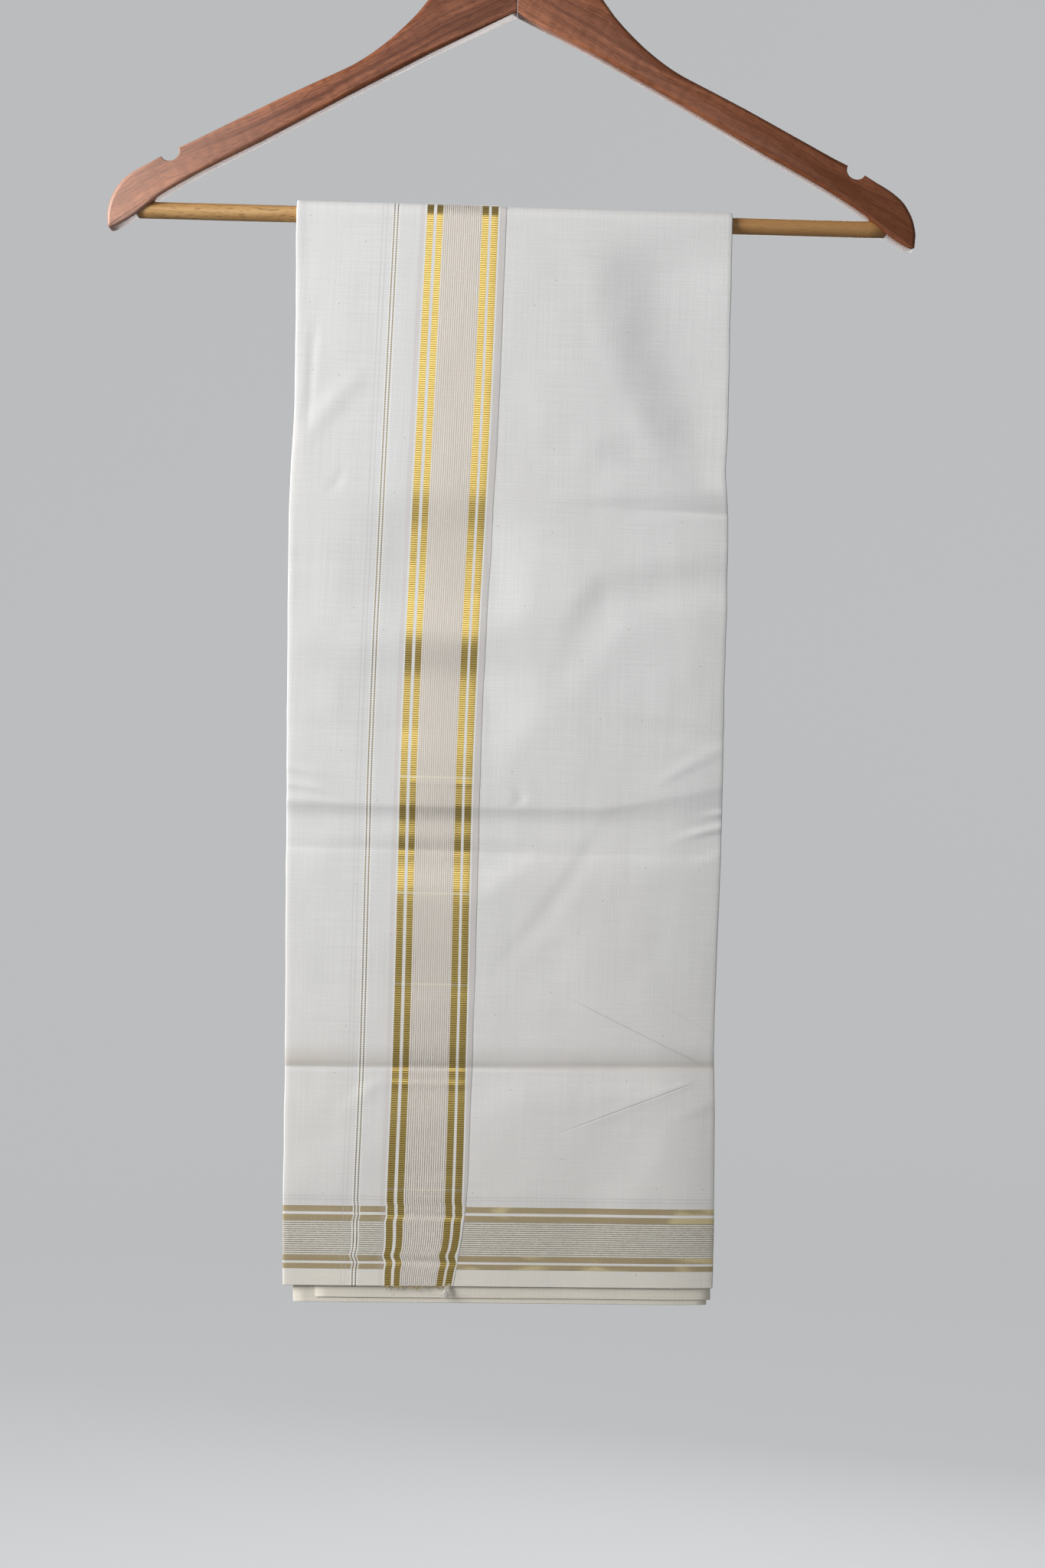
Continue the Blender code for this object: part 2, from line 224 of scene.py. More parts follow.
def darker(colour, share):
    return tuple(value * share for value in colour)


def objectPlace(tree):
    return Signal(tree.nodes.new("ShaderNodeTexCoord").outputs["Object"])


def newMaterial(name):
    material = bpy.data.materials.new(name)
    material.use_nodes = True
    return material, material.node_tree, material.node_tree.nodes["Principled BSDF"]


def raised(shader, height, depth):
    # Bump of the given depth in millimetres
    values = {"Distance": depth * mm, "Strength": 1, "Height": height}
    feed(shader.inputs["Normal"], addNode(height.tree, "ShaderNodeBump", values))


# Cotton, with the woven border and the end band

cottonLook = {
    "white": (0.82, 0.82, 0.816),
    "warm": (0.805, 0.772, 0.735),
    # painted shade: the inner folds are the same cotton, darker and beiger where the front layers shade them
    "shadedFoldWhite": (0.77, 0.73, 0.64),
    "cream": (0.84, 0.78, 0.66),
    # painted shade: warm darker tint just above the lowest crease
    "creaseShade": (0.52, 0.4, 0.27),
    "speck": (0.3, 0.26, 0.22),
    "selvedge": (0.6, 0.57, 0.55),
    "selvedgePink": (0.64, 0.575, 0.55),
    "edgeLine": (0.62, 0.53, 0.52),
    "whiteYarn": (0.9, 0.9, 0.88),
    "goldBright": (0.98, 0.76, 0.265),
    "goldDark": (0.41, 0.24, 0.045),
    "dotGold": (0.36, 0.25, 0.085),
    "glint": (0.93, 0.88, 0.7),
    "stripeLight": (0.88, 0.85, 0.8),
    "stripeDark": (0.7, 0.59, 0.475),
    "endGold": (0.56, 0.46, 0.275),
    "endGoldBright": (0.8, 0.69, 0.4),
    "endGoldDark": (0.38, 0.3, 0.18),
    "endStripeLight": (0.82, 0.78, 0.7),
    "endStripeDark": (0.285, 0.262, 0.2),
    "roughness": 0.86,
    "goldRoughness": 0.29,  # no part of the gold is smoother
    "goldMetal": 0.93,
    "goldCalm": 0.68,       # how much the gold evens out the weave's bump
    "bumpDepth": 0.11,
    "ribPitch": 1.23,       # gold ribs across the border's gold stripes
    "warpPitch": 1.17,      # fine stripes in the middle of the border
    "weftPitch": 1.06,
    "dotPitch": 1.32,
    "endPitch": 1.18,       # fine stripes in the end band
    "speckSpacing": 46,     # small dark specks in the yarn
    "threadPair": 0.84,     # two threads of the plain weave
}
# Distances across the border, from the right edge of its right gold stripe towards the left
borderWidth = 39.3
borderGolds = ((0, 3.8), (5.2, 8.9), (30.5, 33.9), (35.6, borderWidth))
borderMiddle = (8.9, 30.5)
borderWhites = ((-0.8, 0), (54.2, 55.05), (55.65, 56.85), (57.45, 58.3))
borderDots = ((54.95, 55.7), (56.8, 57.55))
borderGreys = ((60.9, 61.5), (63.2, 63.8))
# Distances up from the cut end
endGolds = ((9.1, 12.1), (13.4, 16.5), (35.6, 38.9), (40.4, 43.7))
endMiddle = (16.5, 35.6)
endLines = ((46.9, 47.6), (48.6, 49.4))
glintLevels = (53, 166, 216, 280)  # lighter lines across the border at these heights: painted glints
sharpLines = (  # thin pressed lines in the right half: both ends (across, along), then strength
    (171, 158.6, 244, 123.6, 1), (222, 156, 252, 139, 0.5), (236, 112.6, 169, 86.5, 0.6),
)


def plainWeave(axes, white, bordered):
    # Uneven yarns: long faint streaks both ways, a slow warm cast and specks, and painted shade just above
    # the lowest crease
    look = cottonLook
    across, along = axes
    streak = drawnOut(axes, (0.022, 1.25), 3, 0.65) + drawnOut(axes, (1.1, 0.014), 3, 0.65)
    streak = spread(streak, 0.72, 1.28)
    warmth = spread(drawnOut(axes, (0.012, 0.007)), 0.4, 0.72) * 0.35
    lowEnd = spread(along, 290, 0, 0, 0.75)
    colour = mixColour(calc("ADD", warmth, lowEnd, clamp=True), white, look["warm"])
    colour = mixColour(spread(along, 11, 7, 0, 0.8), colour, look["cream"])
    # Painted shade: a warm darker tint on the cloth just above the lowest crease, where it faces down
    creaseShade = spread(along, 133, 121) * spread(along, 119.2, 120.2)
    creaseShade *= spread(across, -10, 100, 0.15, 0.45) if bordered else 0.26
    colour = mixColour(creaseShade, colour, look["creaseShade"])
    grain = cloudy(combine(across, along), 1.3, 1, 0.5)
    streak = calc("ADD", streak, spread(grain, 0.35, 0.65, -0.28, 0.28), clamp=True)
    colour = mixColour(streak * 0.62, colour, darker(white, 0.84))
    specks = addNode(across.tree, "ShaderNodeTexVoronoi", voronoi_dimensions="2D")
    setInputs(specks, {"Vector": combine(across, along), "Scale": 1 / look["speckSpacing"]})
    speck = spread(Signal(specks.outputs["Distance"]), 0.01, 0.005, 0, 0.55)
    colour = mixColour(speck, colour, look["speck"])
    turn = 2 * math.pi / look["threadPair"]
    height = calc("SINE", across * turn) * calc("SINE", along * turn) * 0.22 + streak * 0.35
    return colour, height


def addSharpLines(axes, colour, height):
    across, along = axes
    for startX, startY, endX, endY, strength in sharpLines:
        incline = (endY - startY) / (endX - startX)
        level = calc("MULTIPLY_ADD", across, -incline, along - (startY - incline * startX))
        here = stripe(level, -0.3, 0.3, 0.5) * stripe(across, min(startX, endX), max(startX, endX), 16)
        # The darker colour along each line is painted shade in the crease; the height below gives its bump
        colour = mixColour(here * (0.42 * strength), colour, cottonLook["selvedge"])
        height = calc("MULTIPLY_ADD", here, -1.6 * strength, height)
    return colour, height


def addEndBand(axes, crackle, bordered, colour, height):
    look = cottonLook
    across, along = axes
    besides = spread(across, borderWidth + 0.9, borderWidth + 1.1) if bordered else 1
    golds = stripes(along, *endGolds) * besides
    middle = stripe(along, *endMiddle) * besides
    colour = mixColour(stripes(along, *endLines) * besides * 0.34, colour, look["selvedge"])
    fine = spread(ripple(crackle * 0.5 + along, look["endPitch"]), 0.22, 0.66)
    flecks = spread(drawnOut(axes, (1.6, 0.9), 2, 0.6), 0.42, 0.62)
    lines = mixColour(fine * (flecks * 0.25 + 0.75), look["endStripeLight"], look["endStripeDark"])
    goldFlecks = drawnOut(axes, (2.1, 3.4), 3, 0.7)
    goldColour = mixColour(spread(goldFlecks, 0.4, 0.6), look["endGoldDark"], look["endGold"])
    # Painted glints: brighter patches of the gold in the panel's end band, mixed towards endGoldBright
    paintedSparkle = spread(drawnOut(axes, (0.035, 0.09), 1, 0.5), 0.5, 0.62, 0, 0 if bordered else 0.24)
    goldFlecks = goldFlecks + paintedSparkle
    goldColour = mixColour(spread(goldFlecks, 0.6, 0.7, 0, 0.8), goldColour, look["endGoldBright"])
    colour = mixColour(golds, mixColour(middle, colour, lines), goldColour)
    height = height + golds * goldFlecks * 1.6 + middle * fine * 0.7
    return colour, golds * 0.35, golds * -0.36 + look["roughness"], height


def addBorder(axes, crackle, colour, height):
    look = cottonLook
    across, along = axes
    golds = stripes(across, *borderGolds)
    middle = stripe(across, *borderMiddle)
    pricks = stripe(across, borderWidth, borderWidth + 0.8) * ripple(along, look["ribPitch"], 1)
    dots = stripes(across, *borderDots) * spread(ripple(along, look["dotPitch"]), 0.1, 0.35)
    for place, share, name in (
        (stripe(across, -9, -0.95, 0.3), 0.45, "selvedgePink"),
        (pricks, 0.8, "whiteYarn"),
        (stripe(across, borderWidth + 1.1, borderWidth + 3.6, 0.8), 0.28, "edgeLine"),
        (stripes(across, *borderGreys), 0.36, "selvedge"),
        (stripes(across, *borderWhites), 0.85, "whiteYarn"),
        (dots, 0.95, "dotGold"),
    ):
        colour = mixColour(place * share, colour, look[name])

    # Middle stripes: brown warps that the white weft crosses
    warps = spread(ripple(across, look["warpPitch"]), 0.16, 0.52)
    wefts = ripple(along, look["weftPitch"]) * 0.36 + 0.64
    uneven = calc("MULTIPLY_ADD", drawnOut(axes, (0.9, 0.3), 2, 0.6), 0.9, 0.5, clamp=True)
    brown = warps * wefts * uneven
    colour = mixColour(middle, colour, mixColour(brown, look["stripeLight"], look["stripeDark"]))

    # Gold: flat metal strip over cotton, drawn in ribs by the weft
    rib = ripple(crackle * 0.35 + along, look["ribPitch"])
    spark = spread(drawnOut(axes, (1.3, 0.85), 2, 0.6), 0.25, 0.55, 0.72, 1)
    goldColour = mixColour(spread(rib, 0.12, 0.52) * spark, look["goldDark"], look["goldBright"])
    colour = mixColour(golds, colour, goldColour)
    metal = golds * look["goldMetal"] + middle * brown * 0.95 + dots * look["goldMetal"]
    shine = golds * 0.64 + middle * brown * 0.6 + dots * 0.62
    height = height * (golds * -look["goldCalm"] + 1) + golds * rib * 0.22 + middle * warps * 0.28

    # Painted glints: lighter lines across the border at a few heights
    glint = sum(stripe(along, level - 0.5, level + 0.5, 0.5) for level in glintLevels)
    colour = mixColour(glint * stripe(across, 0, borderWidth) * 0.55, colour, look["glint"])
    return colour, metal, shine, height


def makeCotton(name, white, bordered, banded):
    look = cottonLook
    material, tree, shader = newMaterial(name)
    weave = addNode(tree, "ShaderNodeUVMap", uv_map="weave")
    axes = splitAxes(Signal(weave.outputs[0]))[:2]
    crackle = drawnOut(axes, (0.55, 1.9), 3, 0.7)
    colour, height = plainWeave(axes, white, bordered)
    metal, roughness = 0, look["roughness"]
    if banded and not bordered:
        colour, height = addSharpLines(axes, colour, height)
    if banded:
        colour, metal, roughness, height = addEndBand(axes, crackle, bordered, colour, height)
    if bordered:
        colour, borderMetal, shine, height = addBorder(axes, crackle, colour, height)
        metal = calc("MAXIMUM", metal, borderMetal)
        roughness = calc("MAXIMUM", roughness - shine, look["goldRoughness"])
    setInputs(shader, {
        "Base Color": colour, "Metallic": metal, "Roughness": roughness,
        "Specular IOR Level": 0.22, "Sheen Weight": 0.12, "Sheen Roughness": 0.45,
    })
    raised(shader, height, look["bumpDepth"])
    return material


borderedCotton = makeCotton("borderedCotton", cottonLook["white"], True, True)
bandedCotton = makeCotton("bandedCotton", cottonLook["white"], False, True)
# the inner folds get a darker white: painted shade under the front layers
foldedCotton = makeCotton("foldedCotton", cottonLook["shadedFoldWhite"], False, False)
print("cotton materials made")


# Wood, steel and thread

woodLook = {
    "light": (0.46, 0.17, 0.082),
    "dark": (0.14, 0.037, 0.014),
    "sideShadeDark": (0.13, 0.034, 0.007),
    "leftEndHighlight": (0.72, 0.47, 0.38),
    "barLight": (0.64, 0.39, 0.165),
    "barDark": (0.42, 0.215, 0.075),
    "armPitch": 27.8,  # degrees that an arm falls from the crown
    "roughness": 0.42,
}
smallLook = {
    "steel": ((0.6, 0.6, 0.61), (0.74, 0.74, 0.75)),
    "whiteThread": ((0.82, 0.81, 0.78), (0.7, 0.68, 0.63)),
    "goldThread": ((0.85, 0.66, 0.24), (0.6, 0.52, 0.36)),
}


def makeWood(name, light, dark, pitch, coat):
    look = woodLook
    material, tree, shader = newMaterial(name)
    x, y, z = splitAxes(objectPlace(tree))
    turn = math.radians(pitch)
    outwards = calc("ABSOLUTE", x)
    along = outwards * math.cos(turn) - z * math.sin(turn)
    across = outwards * math.sin(turn) + z * math.cos(turn) + calc("SIGN", x) * 0.9
    across = calc("MULTIPLY_ADD", drawnOut((along, across, y), (9, 26, 1)), 0.016, across)
    axes = (along, across, y)
    fibres = drawnOut(axes, (22, 900, 500), 3, 0.6)
    figure = drawnOut(axes, (5, 150, 60), 3, 0.55)
    pore = spread(drawnOut(axes, (170, 1500, 1500), 1, 0.5), 0.56, 0.68)
    colour = mixColour(spread(fibres * 0.45 + figure * 0.9, 0.5, 0.84), dark, light)
    colour = mixColour(pore * 0.5, colour, darker(dark, 0.35))
    if pitch:
        ripples = drawnOut(axes, (170, 34, 20), 2, 0.5)
        colour = mixColour(spread(ripples, 0.45, 0.7, 0, 0.46), colour, dark)
        sideShade = spread(x, -0.1, 0.16, 0, 0.62)  # painted shade: darker towards the right, away from the key light
        colour = mixColour(sideShade, colour, look["sideShadeDark"])
        # Painted highlight: the left end of the hanger paler, standing for the varnish's sheen in the key
        # light
        colour = mixColour(spread(x, -0.11, -0.22, 0, 0.42), colour, look["leftEndHighlight"])
    else:
        # Painted shade: the bar darker towards its right end
        colour = mixColour(spread(x, -0.1, 0.2, 0, 0.85), colour, dark)
    rough = look["roughness"]
    setInputs(shader, {
        "Base Color": colour, "Roughness": spread(fibres, 0.3, 0.7, rough - 0.05, rough + 0.08),
        "Specular IOR Level": 0.3, "Coat Weight": coat, "Coat Roughness": 0.16,
    })
    raised(shader, fibres * 0.5 - pore, 0.05)
    return material


def makeSteel():
    material, tree, shader = newMaterial("brightSteel")
    drawn = cloudy(objectPlace(tree), 700, 3, 0.6)
    setInputs(shader, {
        "Base Color": mixColour(drawn, *smallLook["steel"]), "Metallic": 1,
        "Roughness": spread(drawn, 0.3, 0.7, 0.16, 0.3),
    })
    raised(shader, drawn, 0.01)
    return material


def makeThread(name, metal):
    material, tree, shader = newMaterial(name)
    spots = cloudy(objectPlace(tree), 900, 2, 0.6)
    setInputs(shader, {
        "Base Color": mixColour(spread(spots, 0.4, 0.6), *smallLook[name]),
        "Metallic": metal, "Roughness": 0.7 - 0.3 * metal,
    })
    raised(shader, spots, 0.04)
    return material


armWood = makeWood("varnishedWood", woodLook["light"], woodLook["dark"], woodLook["armPitch"], 0.2)
barWood = makeWood("honeyWood", woodLook["barLight"], woodLook["barDark"], 0, 0.25)
steel = makeSteel()
whiteThread = makeThread("whiteThread", 0)
goldThread = makeThread("goldThread", 0.5)
print("wood, steel and thread materials made")


# The hanger

armShape = {
    "thickness": 13,
    "seamGap": 0.3,
    "roundingSteps": 8,
    "underside": (  # across, drop, edge rounding
        (0.15, 0, 0.5), (46.6, 23.5, 2.6), (92.9, 49, 2.6), (139, 74.9, 2.6), (170, 91.4, 2.4),
        (194.6, 106.5, 1.8), (208.4, 117.8, 1.4), (220, 124.5, 1.4), (223, 124, 1.4),
    ),
    "end": ((223.6, 117, 2.2), (222, 109, 2.6), (216.7, 99.5, 2.6), (209, 93, 2.6), (201.5, 88.8, 2.2)),
    "topside": (
        (178, 76.2, 2.4), (155, 64.1, 2.6), (128, 50, 2.6), (104, 38.2, 2.6), (89, 30.6, 2.6),
        (76, 21.6, 2.6), (65, 12, 2.6), (54, 0.4, 2.6), (43.5, -13.6, 2.6), (32, -25.6, 2.6),
        (20.5, -32, 2.6), (10, -34.7, 2), (0.15, -35.4, 0.5),
    ),
    "notch": ((194.4, 85), (185, 80), 4.8),  # outer lip, inner lip, depth
}
barShape = {"radius": 4.6, "drop": 113.8, "halfLength": 207, "sides": 40, "rings": 46, "waver": 0.05}
hookShape = {"wireRadius": 1.9, "crookRadius": 21.9, "neckBend": 10, "seatDrop": -13.4, "crookEnd": 206}


def soften(rows):
    # One more row halfway between each two, on a smooth curve through them
    result = []
    for index in range(len(rows) - 1):
        before, start = rows[max(index - 1, 0)], rows[index]
        end, after = rows[index + 1], rows[min(index + 2, len(rows) - 1)]
        result.append(start)
        result.append(tuple((9 * (start[n] + end[n]) - before[n] - after[n]) / 16 for n in range(3)))
    result.append(rows[-1])
    return result


def armOutline():
    values = armShape
    rows = list(values["underside"][:3]) + soften(soften(values["underside"][3:]))
    rows += soften(soften(values["end"]))
    outer, inner, depth = values["notch"]
    outer, inner = Vector(outer), Vector(inner)
    middle, half = (outer + inner) / 2, (outer - inner) / 2
    inward = Vector((-half.y, half.x)).normalized() * depth
    for step in range(17):
        angle = math.pi * step / 16
        place = middle + half * math.cos(angle) + inward * math.sin(angle)
        rows.append((place.x, place.y, 0.7))
    return rows + soften(soften(values["topside"]))


def insetOutline(rows, share):
    result = []
    for index, (across, drop, rounding) in enumerate(rows):
        before, here = Vector(rows[index - 1][:2]), Vector((across, drop))
        after = Vector(rows[(index + 1) % len(rows)][:2])
        first, second = (here - before).normalized(), (after - here).normalized()
        firstIn, secondIn = Vector((first.y, -first.x)), Vector((second.y, -second.x))
        inward = (firstIn + secondIn).normalized()
        result.append(here + inward * rounding * share / max(0.6, inward.dot(firstIn)))
    return result


def buildArm(name, side):
    rows = armOutline()
    half = armShape["thickness"] / 2
    steps = armShape["roundingSteps"]
    angles = [math.pi / 2 * step / steps for step in range(steps + 1)]  # from the flat face to the edge
    levels = [(-1, angle) for angle in angles] + [(1, angle) for angle in reversed(angles)]
    corners = []
    for front, angle in levels:
        for place, row in zip(insetOutline(rows, 1 - math.sin(angle)), rows):
            depth = half - row[2] * (1 - math.cos(angle))
            corners.append((side * max(place.x, armShape["seamGap"] / 2), front * depth, heightAt(place.y)))
    return meshPiece(name, corners, closedTube(len(levels), len(rows)), armWood)


def buildBar():
    values = barShape
    reach, rings = values["halfLength"], values["rings"]
    low = heightAt(values["drop"])
    stations = [(-reach, 0.86), (-reach + 0.6, 1)]
    stations += [(-reach + 2 * reach * step / rings, 1) for step in range(1, rings)]
    stations += [(reach - 0.6, 1), (reach, 0.86)]
    corners = []
    for across, share in stations:
        swell = values["waver"] * waver(across * 0.03, 4, 1)
        for step in range(values["sides"]):
            angle = 2 * math.pi * step / values["sides"]
            radius = values["radius"] * share + swell
            corners.append((across, radius * math.sin(angle), low + radius * math.cos(angle)))
    return meshPiece("trouserBar", corners, closedTube(len(stations), values["sides"]), barWood)


def hookPath():
    values = hookShape
    centre = Vector((0, -(values["crookRadius"] - values["wireRadius"])))
    reach = values["crookRadius"] + values["neckBend"]
    bend = Vector((values["neckBend"], centre.y - math.sqrt(reach ** 2 - values["neckBend"] ** 2)))
    touch = math.atan2(centre.y - bend.y, centre.x - bend.x)
    low = heightAt(values["seatDrop"]) + 0.3
    path = [Vector((0, low + (bend.y - low) * step / 10)) for step in range(10)]
    for step in range(14):
        angle = math.pi + (touch - math.pi) * step / 14
        path.append(bend + values["neckBend"] * Vector((math.cos(angle), math.sin(angle))))
    start, end = touch - math.pi, math.radians(values["crookEnd"])
    for step in range(85):
        angle = start + (end - start) * step / 84
        path.append(centre + values["crookRadius"] * Vector((math.cos(angle), math.sin(angle))))
    tip = (path[-1] - path[-2]).normalized()
    last = path[-1]
    for forward in (0.5, 0.9, 1.2, 1.45, 1.6):
        path.append(last + tip * forward)
    return path


# Geometry Nodes: a wire along a path, and loose strands from points


def newTree(name, inputs):
    tree = bpy.data.node_groups.new(name, "GeometryNodeTree")
    for label, kind in (("Geometry", "Geometry"),) + inputs:
        tree.interface.new_socket(name=label, in_out="INPUT", socket_type="NodeSocket" + kind)
    tree.interface.new_socket(name="Geometry", in_out="OUTPUT", socket_type="NodeSocketGeometry")
    start = tree.nodes.new("NodeGroupInput")
    values = {label: Signal(start.outputs[label]) for label, _ in inputs}
    return tree, start, tree.nodes.new("NodeGroupOutput"), values


def tubeAlong(tree, curve, sides, radius):
    ring = addNode(tree, "GeometryNodeCurvePrimitiveCircle", {"Resolution": sides, "Radius": radius})
    values = {"Curve": curve, "Profile Curve": ring, "Fill Caps": True}
    return addNode(tree, "GeometryNodeCurveToMesh", values)


def finishTree(tree, end, geometry, values):
    real = addNode(tree, "GeometryNodeRealizeInstances", {"Geometry": geometry})
    dressed = addNode(tree, "GeometryNodeSetMaterial", {"Geometry": real, "Material": values["Material"]})
    feed(end.inputs["Geometry"], dressed)
    return tree


def bakeNodes(piece, tree, values):
    # Sets the named inputs, evaluates once and leaves a plain mesh
    modifier = piece.modifiers.new(tree.name, "NODES")
    modifier.node_group = tree
    for item in tree.interface.items_tree:
        if item.item_type == "SOCKET" and item.in_out == "INPUT" and item.name in values:
            modifier[item.identifier] = values[item.name]
    piece.update_tag()
    bpy.context.view_layer.update()
    graph = bpy.context.evaluated_depsgraph_get()
    mesh = bpy.data.meshes.new_from_object(piece.evaluated_get(graph))
    name = piece.name
    bpy.data.objects.remove(piece, do_unlink=True)
    mesh.name = name
    return linkPiece(name, mesh)


def wireTree():
    # A round wire with its far end rounded off
    tree, start, end, values = newTree("wireAlongPath", (
        ("Wire Radius", "Float"), ("Sides", "Int"), ("Material", "Material"),
    ))
    radius = values["Wire Radius"]
    path = addNode(tree, "GeometryNodeMeshToCurve", {"Mesh": start})
    here = Signal(addNode(tree, "GeometryNodeSplineParameter").outputs["Length"])
    length = Signal(addNode(tree, "GeometryNodeSplineLength").outputs["Length"])
    inner = 1 - calc("DIVIDE", length - here, radius, clamp=True)
    taper = calc("SQRT", calc("MAXIMUM", 1 - inner * inner, 0.02))
    sized = addNode(tree, "GeometryNodeSetCurveRadius", {"Curve": path, "Radius": taper})
    wire = tubeAlong(tree, sized, values["Sides"], radius)
    if "Scale" in wire.inputs:
        feed(wire.inputs["Scale"], taper)
    smooth = addNode(tree, "GeometryNodeSetShadeSmooth", {"Geometry": wire})
    return finishTree(tree, end, smooth, values)


def strandTree():
    # A loose, slightly wavy strand hangs from every point
    tree, start, end, values = newTree("looseStrands", (
        ("Strand Length", "Float"), ("Strand Radius", "Float"), ("Shortest", "Float"), ("Lean", "Float"),
        ("Wave", "Float"), ("Seed", "Int"), ("Material", "Material"),
    ))
    points = addNode(tree, "GeometryNodeMeshToPoints", {"Mesh": start})
    line = addNode(tree, "GeometryNodeCurvePrimitiveLine", {"Start": (0, 0, 0), "End": (0, 0, -1)})
    cut = addNode(tree, "GeometryNodeResampleCurve", {"Curve": line, "Count": 7})
    lean = values["Lean"]
    back = lean * -1
    turn = addNode(tree, "FunctionNodeRandomValue", data_type="FLOAT_VECTOR")
    setInputs(turn, {0: combine(back * 0.35, back), 1: combine(lean * 0.35, lean), "Seed": values["Seed"]})
    size = addNode(tree, "FunctionNodeRandomValue", data_type="FLOAT")
    setInputs(size, {2: values["Shortest"], 3: 1, "Seed": values["Seed"] + 7})
    length = Signal(size.outputs[1]) * values["Strand Length"]
    strands = addNode(tree, "GeometryNodeInstanceOnPoints", {
        "Points": points, "Instance": cut, "Rotation": turn, "Scale": combine(length, length, length),
    })
    real = addNode(tree, "GeometryNodeRealizeInstances", {"Geometry": strands})
    place = addNode(tree, "GeometryNodeInputPosition")
    cloud = addNode(tree, "ShaderNodeTexNoise", {"Vector": place, "Scale": 260, "Detail": 1})
    centred = addNode(tree, "ShaderNodeVectorMath", operation="SUBTRACT")
    setInputs(centred, {0: Signal(cloud.outputs["Color"]), 1: (0.5, 0.5, 0.5)})
    downStrand = Signal(addNode(tree, "GeometryNodeSplineParameter").outputs["Factor"])
    reach = downStrand * values["Wave"]
    sway = addNode(tree, "ShaderNodeVectorMath", {0: centred, "Scale": reach}, operation="SCALE")
    moved = addNode(tree, "GeometryNodeSetPosition", {"Geometry": real, "Offset": sway})
    return finishTree(tree, end, tubeAlong(tree, moved, 4, values["Strand Radius"]), values)


def pointPiece(name, places, joined):
    mesh = bpy.data.meshes.new(name)
    edges = [(index, index + 1) for index in range(len(places) - 1)] if joined else []
    mesh.from_pydata([(x * mm, y * mm, z * mm) for x, y, z in places], edges, [])
    return linkPiece(name, mesh)


leftArm = buildArm("leftArm", -1)
rightArm = buildArm("rightArm", 1)
trouserBar = buildBar()
wireHook = bakeNodes(
    pointPiece("wireHook", [(place.x, 0, place.y) for place in hookPath()], True), wireTree(),
    {"Wire Radius": hookShape["wireRadius"] * mm, "Sides": 20, "Material": steel},
)
print("hanger made")


# The cloth

clothShape = {
    "clothThickness": 0.42,
    "selvedgeThickness": 0.05,
    "selvedgeLift": 1.225,
    "overBar": 0.3,            # from the bar to the first fold
    "foldsAtBar": 1,
    "foldsBelow": 2.4,
    "panelLift": 0.97,         # middle of the panel's cloth above the folds
    "flapLift": 1.41,
    "underFlap": 0.3,         # the panel lies this much deeper under the flap
    "foldPuff": 0.28,          # the left fold doesn't lie quite flat
    "returnWidth": 8,
    "rightReturn": 9,
    "rightReturnLift": 0.33,
    "frontBottom": 703.6,
    "backBottom": 702.4,
    "hemSlant": 0.0175,
    "slantFrom": 330,
    "middle": 8,
    "rowStep": 2.6,
    "backRowStep": 7,
    "flapColumns": 54,
    "selvedgeColumns": (0, 0.1, 0.35, 0.9, 1.8, 3.2),
    "panelColumns": (22, 66),  # under the flap and beside it
    "overlap": 14,             # of the flap over the columns beside it
    "panelPattern": 125,
}
sCurves = (  # distance up from the cut end, shift, width
    (43, 0.55, 2.2), (38.6, 0.75, 2), (16.6, -0.8, 2.4), (12.2, 0.6, 2.4), (27, 0.25, 6),
)
outerEdges = (  # drop, left fold, right fold, selvedge of the flap
    (105, -118.9, 122, -2.6), (222, -116.9, 122.8, -4.2), (252, -117.8, 122.3, -5),
    (281, -118.3, 124.3, -5.8), (382, -116.5, 124.7, -8.6), (451, -115, 125.3, -8.7),
    (488, -114.3, 124.9, -8.7), (567, -112.5, 124.2, -8.8), (592, -112.1, 125.2, -9.1),
    (662, -111.1, 126.8, -10.4), (707, -110, 127.1, -16.5),
)
borderEdges = (  # drop, left and right edge of the gold border
    (105, -46.4, -7.2), (115, -46.6, -7.3), (223, -49.2, -8.9), (401, -52.7, -13),
    (570, -52.8, -12.6), (667, -54.1, -12.8), (690, -54, -15.2), (707, -53.9, -17.7),
)

# Forms of a trough's two sides, from 1 on its line to 0 at its edge
sideForms = {
    "pressed": lambda away: (1 - away) ** 1.6,
    "soft": lambda away: 0.5 + 0.5 * math.cos(math.pi * away),
    "lip": lambda away: 1 - away ** 1.8,
}
